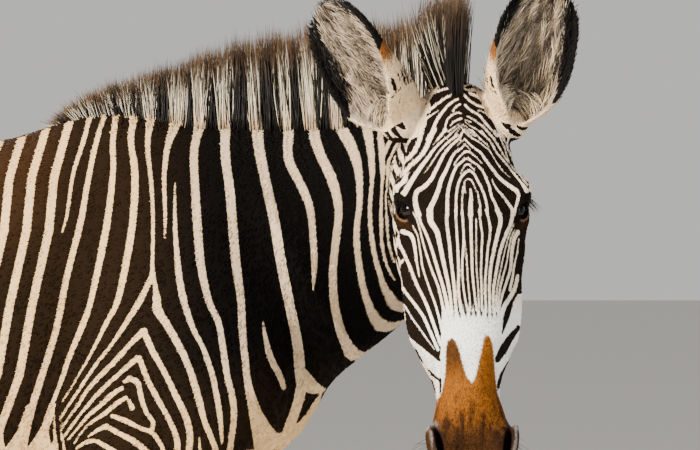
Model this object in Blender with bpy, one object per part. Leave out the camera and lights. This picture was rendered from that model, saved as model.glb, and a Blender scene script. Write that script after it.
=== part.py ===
"""A life-size Grevy's zebra that stands on its four hooves and turns its head to its right.

The animal is drawn straight first, in metres: X forward from the withers, Y to its left, Z up from the
ground. Each form of the flesh is a loft between two silhouette lines, and the forms melt together in one
distance field. The whole is then bent at the neck, reduced to facets and parted with thin cuts.
"""

import math

import bmesh
import bpy
import numpy as np
import openvdb as vdb
from mathutils import Matrix, Vector

for old in list(bpy.data.objects):
    bpy.data.objects.remove(old)

# ---------------------------------------------------------------------------------------- sizes
VOXEL = 0.008           # grid of the distance field
BAND = 0.080            # how far from a surface distances are kept
FLESH_TRIANGLES = 4700  # of the whole flesh, before it is parted
GAP = 0.0004            # between neighbouring pieces
CUT = 0.0006            # width of the cuts that part the flesh
RING = 56               # points round a section
STEPS = 6               # sections between two stations
MIDDLE = (-0.250, -0.174)   # X, Y of the standing animal's middle, which becomes the origin

POLL = (0.900, 1.557)           # X, Z of the poll, where the head's own frame starts
HEAD_PITCH = math.radians(70)   # the face line's slope below the horizontal
HEAD_YAW = math.radians(-84.5)  # the head's turn, to the animal's right
BEND_POWER = 1.95               # how much of the turn gathers near the head
BEND_HEIGHT = 1.35              # height of the neck's axis
BEND_STEPS = 300                # steps in which the bend is summed
BASE_SLICE = ((0.030, 1.520), (0.400, 1.000))   # X, Z of two points of the slice where the neck starts
HEAD_SLICE = ((0.785, 1.560), (0.570, 1.130))   # and of the slice from which all moves with the head

# How wide each form's seam melts.
BLEND = {"trunk": 0.02, "foreleg": 0.05, "hindleg": 0.06, "neck": 0.06, "head": 0.035, "lids": 0.004}

# A station of a form in the middle plane: X, Z of the top or front line, X, Z of the bottom or rear line,
# half width, where the width is greatest (0 bottom to 1 top), roundness above and below (2 an ellipse).
TRUNK = (
    (-1.203, 1.235, -1.203, 1.150, 0.020, 0.50, 2.00, 2.00),
    (-1.188, 1.290, -1.188, 1.085, 0.070, 0.50, 2.00, 2.00),
    (-1.145, 1.352, -1.145, 1.020, 0.125, 0.50, 2.00, 2.00),
    (-1.065, 1.412, -1.065, 0.965, 0.182, 0.50, 2.00, 2.00),
    (-0.950, 1.452, -0.950, 0.918, 0.230, 0.52, 2.00, 2.10),
    (-0.800, 1.468, -0.800, 0.878, 0.258, 0.50, 2.00, 2.10),
    (-0.620, 1.456, -0.620, 0.838, 0.272, 0.48, 2.00, 2.20),
    (-0.450, 1.443, -0.450, 0.810, 0.286, 0.46, 2.00, 2.20),
    (-0.280, 1.447, -0.280, 0.802, 0.286, 0.45, 1.95, 2.20),
    (-0.140, 1.468, -0.140, 0.810, 0.268, 0.44, 1.85, 2.15),
    (-0.030, 1.490, -0.030, 0.824, 0.238, 0.43, 1.65, 2.10),
    (0.080, 1.475, 0.080, 0.842, 0.215, 0.42, 1.65, 2.10),
    (0.180, 1.410, 0.180, 0.870, 0.195, 0.42, 1.80, 2.10),
    (0.270, 1.300, 0.270, 0.912, 0.160, 0.42, 2.00, 2.10),
    (0.335, 1.180, 0.335, 0.968, 0.105, 0.45, 2.00, 2.00),
    (0.360, 1.100, 0.360, 1.020, 0.050, 0.50, 2.00, 2.00),
)
NECK = (
    (-0.100, 1.448, 0.080, 1.000, 0.120, 0.42, 1.80, 2.00),
    (0.000, 1.494, 0.270, 0.995, 0.160, 0.42, 1.70, 2.00),
    (0.140, 1.489, 0.385, 1.056, 0.150, 0.44, 1.70, 2.00),
    (0.290, 1.485, 0.470, 1.122, 0.133, 0.45, 1.70, 2.00),
    (0.440, 1.490, 0.540, 1.186, 0.118, 0.46, 1.75, 2.00),
    (0.580, 1.504, 0.615, 1.238, 0.105, 0.48, 1.80, 2.00),
    (0.710, 1.521, 0.690, 1.276, 0.096, 0.50, 1.85, 2.00),
    (0.820, 1.532, 0.750, 1.300, 0.087, 0.52, 1.90, 2.00),
    (0.885, 1.522, 0.795, 1.340, 0.070, 0.55, 2.00, 2.00),
)
# The head's own frame: H down the face from the poll, F out of the face, Y to the left.
HEAD = (
    (-0.035, -0.075, 0.000, -0.140, 0.030, 0.60, 2.00, 2.00),
    (-0.010, -0.034, 0.040, -0.200, 0.058, 0.70, 2.00, 2.00),
    (0.045, -0.010, 0.090, -0.250, 0.076, 0.72, 2.10, 2.00),
    (0.100, 0.004, 0.135, -0.275, 0.090, 0.75, 2.30, 2.00),
    (0.155, 0.010, 0.180, -0.280, 0.101, 0.77, 2.40, 2.00),
    (0.215, 0.007, 0.235, -0.268, 0.103, 0.74, 2.40, 2.00),
    (0.280, 0.002, 0.295, -0.240, 0.098, 0.62, 2.15, 2.00),
    (0.340, 0.000, 0.350, -0.208, 0.094, 0.54, 2.00, 2.00),
    (0.392, 0.000, 0.400, -0.180, 0.086, 0.50, 2.00, 2.00),
    (0.432, 0.000, 0.438, -0.162, 0.074, 0.50, 2.00, 2.00),
    (0.470, -0.002, 0.474, -0.150, 0.058, 0.50, 2.10, 2.00),
    (0.510, -0.005, 0.510, -0.138, 0.053, 0.52, 2.10, 2.00),
    (0.550, -0.010, 0.546, -0.134, 0.061, 0.56, 2.20, 2.10),
    (0.592, -0.022, 0.584, -0.128, 0.064, 0.60, 2.20, 2.20),
    (0.626, -0.045, 0.612, -0.114, 0.054, 0.60, 2.10, 2.10),
    (0.646, -0.070, 0.632, -0.095, 0.024, 0.60, 2.00, 2.00),
)
# Forms on both sides of the head: centre and radii along H, F, Y, then the blend.
HEAD_SWELLS = (
    (0.172, -0.032, 0.091, 0.042, 0.026, 0.022, 0.020),     # brow
    (0.210, -0.056, 0.082, 0.034, 0.029, 0.028, 0.012),     # lids and the ring of the orbit
    (0.236, -0.082, 0.090, 0.052, 0.022, 0.013, 0.015),     # cheekbone under the eye
    (0.330, -0.090, 0.080, 0.080, 0.012, 0.014, 0.015),     # facial crest
    (0.190, -0.190, 0.064, 0.100, 0.085, 0.030, 0.030),     # jaw muscle
    (0.588, -0.046, 0.046, 0.036, 0.028, 0.024, 0.018),     # wing of the nostril
    (0.562, -0.134, 0.000, 0.034, 0.022, 0.034, 0.020),     # chin
)
HEAD_HOLLOWS = (
    (0.120, -0.030, 0.098, 0.026, 0.016, 0.014, 0.020),     # hollow over the brow
    (0.596, -0.042, 0.070, 0.022, 0.011, 0.018, 0.006),     # nostril
    (0.568, -0.104, 0.068, 0.050, 0.005, 0.030, 0.008),     # line of the mouth
)
EYE = (0.210, -0.055, 0.083)    # H, F, Y of the left eye's centre
EYE_RADIUS = 0.0225
EYE_OPENING = (0.021, 0.017, 0.024)     # half sizes of the gap between the lids, along H, F and Y
EYE_OPENING_OUT = 0.024                 # how far outside the eye's centre that gap is centred

# Stations of the legs: X front, X rear, Z, half width, offset from the middle plane.
FORELEG = (
    (0.200, 0.020, 1.330, 0.050, 0.105),
    (0.250, -0.060, 1.250, 0.080, 0.118),
    (0.295, -0.100, 1.140, 0.098, 0.132),
    (0.310, -0.115, 1.050, 0.104, 0.138),
    (0.265, -0.112, 0.960, 0.096, 0.140),
    (0.205, -0.088, 0.890, 0.080, 0.138),
    (0.160, -0.044, 0.810, 0.065, 0.134),
    (0.134, -0.012, 0.710, 0.053, 0.130),
    (0.117, 0.013, 0.610, 0.044, 0.127),
    (0.114, 0.017, 0.545, 0.044, 0.126),
    (0.118, 0.011, 0.490, 0.047, 0.125),
    (0.105, 0.028, 0.430, 0.038, 0.124),
    (0.094, 0.034, 0.360, 0.029, 0.123),
    (0.092, 0.032, 0.285, 0.028, 0.122),
    (0.096, 0.023, 0.238, 0.033, 0.122),
    (0.103, 0.016, 0.205, 0.038, 0.122),
    (0.114, 0.034, 0.160, 0.032, 0.122),
    (0.129, 0.053, 0.118, 0.034, 0.122),
    (0.141, 0.050, 0.088, 0.043, 0.122),
    (0.152, 0.050, 0.060, 0.045, 0.122),
)
HINDLEG = (
    (-0.830, -1.070, 1.330, 0.060, 0.110),
    (-0.790, -1.140, 1.240, 0.092, 0.122),
    (-0.750, -1.172, 1.130, 0.108, 0.132),
    (-0.715, -1.165, 1.020, 0.110, 0.136),
    (-0.705, -1.132, 0.930, 0.100, 0.137),
    (-0.740, -1.094, 0.845, 0.083, 0.135),
    (-0.805, -1.079, 0.765, 0.067, 0.131),
    (-0.880, -1.088, 0.690, 0.053, 0.128),
    (-0.943, -1.118, 0.625, 0.045, 0.126),
    (-0.983, -1.140, 0.580, 0.045, 0.125),
    (-1.003, -1.123, 0.520, 0.043, 0.124),
    (-1.016, -1.103, 0.460, 0.036, 0.123),
    (-1.023, -1.092, 0.380, 0.029, 0.122),
    (-1.024, -1.090, 0.290, 0.028, 0.122),
    (-1.020, -1.098, 0.240, 0.033, 0.122),
    (-1.013, -1.104, 0.205, 0.038, 0.122),
    (-1.002, -1.082, 0.160, 0.032, 0.122),
    (-0.986, -1.062, 0.118, 0.033, 0.122),
    (-0.976, -1.066, 0.088, 0.042, 0.122),
    (-0.966, -1.064, 0.060, 0.044, 0.122),
)
HIP = {"foreleg": 0.95, "hindleg": 1.00}    # height under which a leg slants with its stride
STRIDE = {                                  # how far each hoof stands forward
    ("foreleg", 1): -0.035,
    ("foreleg", -1): 0.030,
    ("hindleg", 1): 0.055,
    ("hindleg", -1): -0.045,
}
HOOF_TOP = 0.078
HOOF = (    # X front and X rear past the leg's last station, Z, half width
    (-0.009, 0.000, HOOF_TOP, 0.0455),
    (0.003, -0.003, 0.052, 0.0485),
    (0.018, -0.002, 0.024, 0.0530),
    (0.029, 0.000, 0.000, 0.0560),
)
TAIL = (    # like TRUNK: rear line, then front line
    (-1.040, 1.425, -1.060, 1.345, 0.036, 0.50, 2.00, 2.00),
    (-1.120, 1.400, -1.110, 1.325, 0.035, 0.50, 2.00, 2.00),
    (-1.185, 1.355, -1.150, 1.298, 0.031, 0.50, 2.00, 2.00),
    (-1.226, 1.292, -1.182, 1.262, 0.027, 0.50, 2.00, 2.00),
    (-1.250, 1.215, -1.207, 1.204, 0.024, 0.50, 2.00, 2.00),
    (-1.262, 1.130, -1.222, 1.126, 0.021, 0.50, 2.00, 2.00),
    (-1.266, 1.045, -1.230, 1.044, 0.019, 0.50, 2.00, 2.00),
    (-1.266, 0.960, -1.234, 0.960, 0.017, 0.50, 2.00, 2.00),
)
TUFT = (
    (-1.266, 0.960, -1.234, 0.960, 0.017, 0.50, 2.00, 2.00),
    (-1.272, 0.900, -1.229, 0.900, 0.022, 0.50, 2.00, 2.00),
    (-1.283, 0.800, -1.222, 0.800, 0.034, 0.50, 2.00, 2.00),
    (-1.287, 0.700, -1.220, 0.700, 0.038, 0.50, 2.00, 2.00),
    (-1.282, 0.600, -1.224, 0.600, 0.033, 0.50, 2.00, 2.00),
    (-1.270, 0.520, -1.236, 0.520, 0.020, 0.50, 2.00, 2.00),
    (-1.258, 0.465, -1.250, 0.465, 0.005, 0.50, 2.00, 2.00),
)
MANE = (    # X, Z of the tips, X, Z of the roots under the skin, half width
    (-0.055, 1.492, -0.050, 1.465, 0.006),
    (-0.010, 1.533, -0.010, 1.465, 0.012),
    (0.055, 1.562, 0.045, 1.460, 0.016),
    (0.130, 1.592, 0.125, 1.455, 0.018),
    (0.215, 1.622, 0.220, 1.450, 0.020),
    (0.320, 1.642, 0.335, 1.450, 0.020),
    (0.430, 1.650, 0.450, 1.455, 0.020),
    (0.540, 1.660, 0.565, 1.465, 0.020),
    (0.650, 1.680, 0.680, 1.480, 0.020),
    (0.760, 1.698, 0.780, 1.490, 0.020),
    (0.860, 1.702, 0.855, 1.495, 0.021),
    (0.930, 1.694, 0.895, 1.500, 0.020),
    (0.955, 1.650, 0.908, 1.495, 0.012),
)
MANE_SECTION = (0.35, 1.6, 2.0)     # where it's widest, roundness above and below
HOOF_SECTION = (0.50, 2.3, 2.1)
LEG_SECTION = (0.50, 2.1, 2.0)
EVERY = {"mane": (4, 7), "tail": (3, 7), "hoof": (6, 4)}    # every how many sections and points are kept
EAR_HEAD = (0.045, -0.066, 0.078)   # H, F, Y of the left ear's root
EAR_LENGTH = 0.246
EAR_WIDTH = 0.070
EAR_DEPTH = 0.060
EAR_WALL = 0.007
EAR_ROWS, EAR_COLUMNS = 11, 9
EAR_CLOSER = 1.25       # how much closer its rows stand towards the tip
EAR_LEAST = (0.2, 0.1)  # least share of its half width and of its depth left inside the wall
EAR_TURN = {    # side: which way the ear points, and which way it opens, in the head's straight frame
    1: ((0.25, 0.27, 0.94), (0.97, 0.24, 0.0)),
    -1: ((0.00, -0.58, 0.81), (0.62, -0.78, 0.0)),
}
# The ear from root to tip: share of the length, half width, depth, and how far round its rims reach.
EAR_SHAPE = (
    (0.00, 0.36, 0.62, 165),
    (0.08, 0.52, 0.82, 156),
    (0.18, 0.73, 1.00, 138),
    (0.30, 0.90, 1.00, 118),
    (0.45, 0.99, 0.88, 104),
    (0.60, 1.00, 0.70, 95),
    (0.72, 0.97, 0.53, 90),
    (0.83, 0.85, 0.36, 86),
    (0.92, 0.64, 0.20, 83),
    (0.97, 0.42, 0.10, 82),
    (1.00, 0.14, 0.03, 82),
)
PARTING = {     # X, Z of both ends of a cut across the animal, its half breadth, its shift forward
    "neck": ((BASE_SLICE[0], (0.445, 0.937)), 0.32, -0.001),
    "head": (HEAD_SLICE, 0.20, 0.001),
    "elbow": (((-0.140, 0.798), (0.300, 0.798)), 0.30, 0.0),
    "stifle": (((-1.240, 0.940), (-0.640, 0.808)), 0.30, 0.0),
    "knee": (((-0.050, 0.447), (0.190, 0.447)), 0.22, 0.0),
    "hock": (((-1.220, 0.490), (-0.900, 0.490)), 0.22, 0.0),
    "fore_coronet": (((-0.010, HOOF_TOP + CUT), (0.260, HOOF_TOP + CUT)), 0.22, 0.0),
    "hind_coronet": (((-1.180, HOOF_TOP + CUT), (-0.840, HOOF_TOP + CUT)), 0.22, 0.0),
}
# Planes that tell the parted pieces from one another.
LEG_TOP = 1.2           # all pieces of the legs lie under it
KNEE_BOTTOM = 0.2       # the upper pieces of the legs lie over it
MID_BACK = -0.4         # X between the forelegs and the hindlegs
WITHERS_FRONT = 0.15    # X between the middles of the trunk and of the neck
RIGHT_OF_NECK = -0.5    # Y that only the head reaches
COLOURS = {
    "flesh": ((0.30, 0.25, 0.20), 0.75),
    "mane": ((0.10, 0.06, 0.04), 0.80),
    "tail": ((0.07, 0.05, 0.04), 0.80),
    "hoof": ((0.09, 0.08, 0.07), 0.45),
    "eye": ((0.03, 0.02, 0.015), 0.08),
}


# ---------------------------------------------------------------------------------------- lofts
def smooth_rows(rows):
    """Catmull-Rom curves through every column of the rows."""
    knots = np.array(rows, float)
    knots = np.vstack([2 * knots[0] - knots[1], knots, 2 * knots[-1] - knots[-2]])
    t = np.arange(STEPS)[:, None] / STEPS
    out = []
    for a, b, c, d in zip(knots, knots[1:], knots[2:], knots[3:]):
        bend = (2 * a - 5 * b + 4 * c - d) * t**2 + (3 * b - a - 3 * c + d) * t**3
        out.append(b + 0.5 * ((c - a) * t + bend))
    return np.vstack(out + [knots[-2:-1]])


def sections(rows):
    """Closed sections between two silhouette lines, as an array of points."""
    angle = 2 * math.pi * np.arange(RING) / RING
    across, up = np.cos(angle), np.sin(angle)
    out = []
    for row in smooth_rows(rows):
        top, low = row[:2], row[2:4]
        half, widest, above, below = row[4:8]
        offset = row[8] if len(row) > 8 else 0.0
        power = 2 / np.where(up >= 0, above, below)
        rise = np.abs(up) ** power
        share = np.where(up >= 0, widest + (1 - widest) * rise, widest * (1 - rise))
        x, z = (low + share[:, None] * (top - low)).T
        y = offset + half * np.sign(across) * np.abs(across) ** power
        out.append(np.stack([x, y, z], -1))
    return np.array(out)


def loft(points):
    """Vertices and triangles of a closed tube through the sections."""
    rows, columns, _ = points.shape
    triangles = []
    for i in range(rows - 1):
        for j in range(columns):
            a, b = i * columns + j, i * columns + (j + 1) % columns
            triangles += [(a, b, b + columns), (a, b + columns, a + columns)]
    first, last = rows * columns, rows * columns + 1
    for j in range(columns):
        k = (j + 1) % columns
        triangles += [(first, k, j), (last, last - 1 - columns + j, last - 1 - columns + k)]
    ends = [points[0].mean(0), points[-1].mean(0)]
    return np.vstack([points.reshape(-1, 3), ends]), np.array(triangles)


def head_point(h, f, y=0.0):
    """A point of the head's frame, in the straight animal."""
    c, s = math.cos(HEAD_PITCH), math.sin(HEAD_PITCH)
    return np.array((POLL[0] + h * c + f * s, y, POLL[1] - h * s + f * c))


def head_rows():
    rows = []
    for h1, f1, h2, f2, *rest in HEAD:
        top, low = head_point(h1, f1), head_point(h2, f2)
        rows.append((top[0], top[2], low[0], low[2], *rest))
    return rows


def leg_rows(leg, stations, side):
    """The leg's stations as a form's, slanted by its stride."""
    rows = []
    for front, rear, z, half, offset in stations:
        shift = STRIDE[leg, side] * max(0.0, 1 - z / HIP[leg])
        rows.append((front + shift, z, rear + shift, z, half, *LEG_SECTION, offset * side))
    return rows


# ---------------------------------------------------------------------------------------- flesh
def smooth_min(a, b, blend):
    h = np.clip(0.5 + 0.5 * (b - a) / blend, 0, 1)
    return b + (a - b) * h - blend * h * (1 - h)


class Field:
    """Distances to a surface on a regular grid; forms are melted in or hollowed out."""

    def __init__(self, low, high, voxel):
        self.voxel = voxel
        self.low = np.floor(np.array(low) / voxel).astype(int)
        self.size = np.ceil(np.array(high) / voxel).astype(int) - self.low
        self.distance = np.full(self.size, BAND, np.float32)

    def window(self, low, high):
        """The part of the grid between two whole-number corners."""
        low = np.clip(np.array(low) - self.low, 0, self.size)
        high = np.clip(np.array(high) - self.low, 0, self.size)
        return low, high, tuple(slice(a, b) for a, b in zip(low, high))

    def add(self, shape, blend):
        """Melts a closed mesh in."""
        points, triangles = shape
        grid = vdb.FloatGrid.createLevelSetFromPolygons(
            points.astype(np.float32),
            triangles=triangles.astype(np.uint32),
            transform=vdb.createLinearTransform(voxelSize=self.voxel),
            halfWidth=BAND / self.voxel,
        )
        first, last = grid.evalActiveVoxelBoundingBox()
        low, high, part = self.window(first, np.array(last) + 1)
        near = np.zeros(high - low, np.float32)
        grid.copyToArray(near, ijk=tuple(int(i) for i in low + self.low))
        self.distance[part] = smooth_min(self.distance[part], near, blend)

    def ball(self, centre, radii, axes, blend, hollow=False):
        """Melts in, or hollows out, an ellipsoid with its radii along the rows of axes."""
        reach = max(radii) + 2 * blend + 2 * self.voxel
        low, high, part = self.window(
            np.floor((centre - reach) / self.voxel).astype(int),
            np.ceil((centre + reach) / self.voxel).astype(int),
        )
        index = np.moveaxis(np.indices(high - low), 0, -1) + low + self.low
        local = (index * self.voxel - centre) @ np.array(axes).T / radii
        size = np.linalg.norm(local, axis=-1)
        slope = np.maximum(np.linalg.norm(local / radii, axis=-1), 1e-9)
        near = size * (size - 1) / slope
        old = self.distance[part]
        new = -smooth_min(-old, near, blend) if hollow else smooth_min(old, near, blend)
        self.distance[part] = new

    def surface(self, level=0.0):
        grid = vdb.FloatGrid(BAND)
        grid.copyFromArray(self.distance, ijk=tuple(int(i) for i in self.low))
        grid.transform = vdb.createLinearTransform(voxelSize=self.voxel)
        return grid.convertToQuads(level)


def head_axes():
    """Unit vectors of the head's frame, as rows."""
    start = head_point(0, 0)
    return np.array([head_point(1, 0) - start, head_point(0, 1) - start, (0, 1, 0)])


def flesh_field(voxel):
    """The whole straight animal but for mane, tail, ears, eyes and hooves."""
    field = Field((-1.30, -0.42, 0.0), (1.24, 0.42, 1.66), voxel)
    field.add(loft(sections(TRUNK)), BLEND["trunk"])
    for side in (1, -1):
        field.add(loft(sections(leg_rows("foreleg", FORELEG, side))), BLEND["foreleg"])
        field.add(loft(sections(leg_rows("hindleg", HINDLEG, side))), BLEND["hindleg"])
    field.add(loft(sections(NECK)), BLEND["neck"])
    field.add(loft(sections(head_rows())), BLEND["head"])
    axes = head_axes()
    for forms, hollow in ((HEAD_SWELLS, False), (HEAD_HOLLOWS, True)):
        for h, f, y, *radii, blend in forms:
            for side in {1, -1} if y else {1}:
                field.ball(head_point(h, f, y * side), radii, axes, blend, hollow)
    h, f, y = EYE
    for side in (1, -1):
        opening = head_point(h, f, (y + EYE_OPENING_OUT) * side)
        field.ball(opening, EYE_OPENING, axes, BLEND["lids"], True)
    return field


# ---------------------------------------------------------------------------------------- pose
def slice_x(ends, z):
    """X at height z on the line through two points."""
    (x1, z1), (x2, z2) = ends
    return x1 + (z - z1) * (x2 - x1) / (z2 - z1)


def pose(points):
    """Bends the neck, turns the head with it, and moves the whole to its origin."""
    points = np.atleast_2d(np.array(points, float))
    start, end = slice_x(BASE_SLICE, points[:, 2]), slice_x(HEAD_SLICE, points[:, 2])
    share = np.clip((points[:, 0] - start) / np.maximum(end - start, 0.1), 0, 1)
    axis_start, axis_end = slice_x(BASE_SLICE, BEND_HEIGHT), slice_x(HEAD_SLICE, BEND_HEIGHT)
    steps = np.linspace(0, 1, BEND_STEPS + 1)
    yaw = HEAD_YAW * steps**BEND_POWER
    step = (axis_end - axis_start) / BEND_STEPS
    middle = (yaw[1:] + yaw[:-1]) / 2
    axis_x = axis_start + np.concatenate([[0], np.cumsum(np.cos(middle) * step)])
    axis_y = np.concatenate([[0], np.cumsum(np.sin(middle) * step)])
    turn = np.interp(share, steps, yaw)
    ahead = points[:, 0] - (axis_start + (axis_end - axis_start) * share)
    out = points.copy()
    out[:, 0] = np.interp(share, steps, axis_x) + ahead * np.cos(turn) - points[:, 1] * np.sin(turn)
    out[:, 1] = np.interp(share, steps, axis_y) + ahead * np.sin(turn) + points[:, 1] * np.cos(turn)
    out[share <= 0] = points[share <= 0]
    return out - (MIDDLE[0], MIDDLE[1], 0)


# ---------------------------------------------------------------------------------------- objects
def material(name, colour, roughness):
    out = bpy.data.materials.new(name)
    out.use_nodes = True
    shader = out.node_tree.nodes["Principled BSDF"]
    shader.inputs["Base Color"].default_value = (*colour, 1)
    shader.inputs["Roughness"].default_value = roughness
    shader.inputs["Metallic"].default_value = 0.0
    return out


def make_object(name, points, faces, kind="flesh"):
    mesh = bpy.data.meshes.new(name)
    mesh.from_pydata([tuple(p) for p in points], [], [tuple(int(i) for i in f) for f in faces])
    mesh.materials.append(material(name, *COLOURS[kind]))
    mesh.shade_smooth()
    mesh.set_sharp_from_angle(angle=math.radians(40))
    out = bpy.data.objects.new(name, mesh)
    bpy.context.scene.collection.objects.link(out)
    return out


def apply_modifiers(obj):
    """Keeps the object's evaluated mesh as its own."""
    graph = bpy.context.evaluated_depsgraph_get()
    mesh = bpy.data.meshes.new_from_object(obj.evaluated_get(graph))
    obj.modifiers.clear()
    obj.data = mesh


def cut_away(obj, cutter):
    modifier = obj.modifiers.new("cut", "BOOLEAN")
    modifier.operation = "DIFFERENCE"
    modifier.solver = "EXACT"
    modifier.object = cutter
    apply_modifiers(obj)


def joined(name, parts):
    """One object of several that don't touch; the parts are removed."""
    shape = bmesh.new()
    for part in parts:
        shape.from_mesh(part.data)
        bpy.data.objects.remove(part)
    mesh = bpy.data.meshes.new(name)
    shape.to_mesh(mesh)
    shape.free()
    out = bpy.data.objects.new(name, mesh)
    bpy.context.scene.collection.objects.link(out)
    return out


def inflated(obj, amount):
    """A copy of the object, grown along its normals, to cut its neighbours with."""
    out = bpy.data.objects.new(obj.name + "_grown", obj.data.copy())
    bpy.context.scene.collection.objects.link(out)
    normals = [v.normal.copy() for v in obj.data.vertices]
    for vertex, normal in zip(out.data.vertices, normals):
        vertex.co += normal * amount
    return out


def slab(name, ends, half, shift):
    """A thin box across the animal, posed with it; shift moves it forward."""
    (x1, z1), (x2, z2) = ends
    along = Vector((x2 - x1, 0, z2 - z1)).normalized()
    across = Vector((-along.z, 0, along.x)) * CUT / 2
    corners = []
    for x, z in ends:
        for y in (half, -half):
            for sign in (1, -1):
                corners.append(Vector((x + shift, y, z)) + across * sign)
    faces = [(0, 1, 3, 2), (4, 6, 7, 5), (0, 4, 5, 1), (2, 3, 7, 6), (0, 2, 6, 4), (1, 5, 7, 3)]
    out = make_object(name, pose(corners), faces)
    tidy_normals(out)
    return out


def tidy_normals(obj):
    shape = bmesh.new()
    shape.from_mesh(obj.data)
    bmesh.ops.recalc_face_normals(shape, faces=shape.faces)
    shape.to_mesh(obj.data)
    shape.free()


def loose_parts(obj):
    """The object's separate bodies, as lists of face indices."""
    shape = bmesh.new()
    shape.from_mesh(obj.data)
    shape.faces.ensure_lookup_table()
    seen, parts = set(), []
    for face in shape.faces:
        if face.index in seen:
            continue
        stack, part = [face], []
        seen.add(face.index)
        while stack:
            at = stack.pop()
            part.append(at.index)
            for edge in at.edges:
                for other in edge.link_faces:
                    if other.index not in seen:
                        seen.add(other.index)
                        stack.append(other)
        parts.append(part)
    shape.free()
    return parts


def sub_object(obj, name, part, kind="flesh"):
    points = np.array([v.co for v in obj.data.vertices])
    faces = [list(obj.data.polygons[i].vertices) for i in part]
    used = sorted({i for face in faces for i in face})
    place = {old: new for new, old in enumerate(used)}
    return make_object(name, points[used], [[place[i] for i in face] for face in faces], kind)


# ---------------------------------------------------------------------------------------- pieces
def part_name(corners):
    """The node that a loose body of the flesh is, from where it lies in the drawing's frame."""
    low, high = corners.min(0) + (*MIDDLE, 0), corners.max(0) + (*MIDDLE, 0)
    x, y = (low + high)[:2] / 2
    if high[2] < HOOF_TOP + CUT:
        return None
    if high[2] > LEG_TOP:
        if low[1] < RIGHT_OF_NECK:
            return "head"
        return "neck" if x > WITHERS_FRONT else "trunk"
    leg = "foreleg" if x > MID_BACK else "hindleg"
    above = low[2] > KNEE_BOTTOM
    return f"{leg}_{'left' if y > 0 else 'right'}_{'upper' if above else 'lower'}"


def make_flesh():
    points, quads = flesh_field(VOXEL).surface()
    whole = make_object("whole", pose(points), quads[:, ::-1])
    tidy_normals(whole)
    fewer = whole.modifiers.new("fewer", "DECIMATE")
    fewer.ratio = FLESH_TRIANGLES / (2 * len(quads))
    apply_modifiers(whole)
    return whole


def make_eye(side):
    h, f, y = EYE
    centre = pose(head_point(h, f, y * side))[0]
    shape = bmesh.new()
    bmesh.ops.create_uvsphere(shape, u_segments=14, v_segments=9, radius=EYE_RADIUS)
    mesh = bpy.data.meshes.new("eye")
    shape.to_mesh(mesh)
    shape.free()
    points = [v.co + Vector(centre) for v in mesh.vertices]
    name = "eye_left" if side > 0 else "eye_right"
    return make_object(name, points, [list(p.vertices) for p in mesh.polygons], "eye")


def shell(outer, inner):
    """Vertices and faces of an open cup between two like grids of points."""
    rows, columns, _ = outer.shape
    count = rows * columns
    faces = []
    for i in range(rows - 1):
        for j in range(columns - 1):
            a, b = i * columns + j, (i + 1) * columns + j
            faces += [(a, a + 1, b + 1, b), (count + a, count + b, count + b + 1, count + a + 1)]
        for a, b in ((i * columns, (i + 1) * columns), ((i + 2) * columns - 1, (i + 1) * columns - 1)):
            faces.append((a, b, b + count, a + count))
    for j in range(columns - 1):
        for a in (j, count - 1 - j):
            b = a + 1 if a == j else a - 1
            faces.append((a, a + count, b + count, b))
    return np.vstack([outer.reshape(-1, 3), inner.reshape(-1, 3)]), faces


def ear_sections(wall):
    """Rows of points from rim to rim, from root to tip, of the ear's outer side drawn in by wall."""
    shape = np.array(EAR_SHAPE)
    rows = []
    for share in 1 - (1 - np.linspace(0, 1, EAR_ROWS)) ** EAR_CLOSER:
        half, depth, reach = (np.interp(share, shape[:, 0], shape[:, i]) for i in (1, 2, 3))
        half, depth = half * EAR_WIDTH, depth * EAR_DEPTH
        half, depth = max(half - wall, half * EAR_LEAST[0]), max(depth - wall, depth * EAR_LEAST[1])
        angle = np.radians(reach) * np.linspace(-1, 1, EAR_COLUMNS)
        height = np.full(EAR_COLUMNS, share * (EAR_LENGTH - wall * 0.5))
        back = depth * (np.cos(angle) - np.sin(np.radians(reach)) / np.radians(reach))
        rows.append(np.stack([half * np.sin(angle), back, height], -1))
    return np.array(rows)


def make_ear(side):
    """A cupped shell with round rims, on its root."""
    points, faces = shell(ear_sections(0.0), ear_sections(EAR_WALL))
    axis, opening = (Vector(v).normalized() for v in EAR_TURN[side])
    back = -(opening - opening.dot(axis) * axis).normalized()
    frame = Matrix.Rotation(HEAD_YAW, 3, "Z") @ Matrix((back.cross(axis), back, axis)).transposed()
    h, f, y = EAR_HEAD
    root = Vector(pose(head_point(h, f, y * side))[0])
    placed = [frame @ Vector(p) + root for p in points]
    out = make_object("ear_left" if side > 0 else "ear_right", placed, faces)
    tidy_normals(out)
    return out


def thinned(rows, kind):
    """The form's sections with only some of them, and some of their points."""
    along, around = EVERY[kind]
    return sections(rows)[::along, ::around]


def make_hoof(leg, side):
    stations = FORELEG if leg == "foreleg" else HINDLEG
    front, rear, _, _, offset = stations[-1]
    rows = []
    for more_front, more_rear, z, half in HOOF:
        shift = STRIDE[leg, side] * (1 - z / HIP[leg])
        x1, x2 = front + more_front + shift, rear + more_rear + shift
        rows.append((x1, z, x2, z, half, *HOOF_SECTION, offset * side))
    points, faces = loft(thinned(rows, "hoof"))
    points = pose(points)
    points[:, 2] = np.clip(points[:, 2], 0.0, HOOF_TOP)
    out = make_object(f"{leg}_{'left' if side > 0 else 'right'}_hoof", points, faces, "hoof")
    tidy_normals(out)
    return out


def make_loft(name, rows, kind):
    points, faces = loft(thinned(rows, kind))
    out = make_object(name, pose(points), faces, kind)
    tidy_normals(out)
    return out


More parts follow.
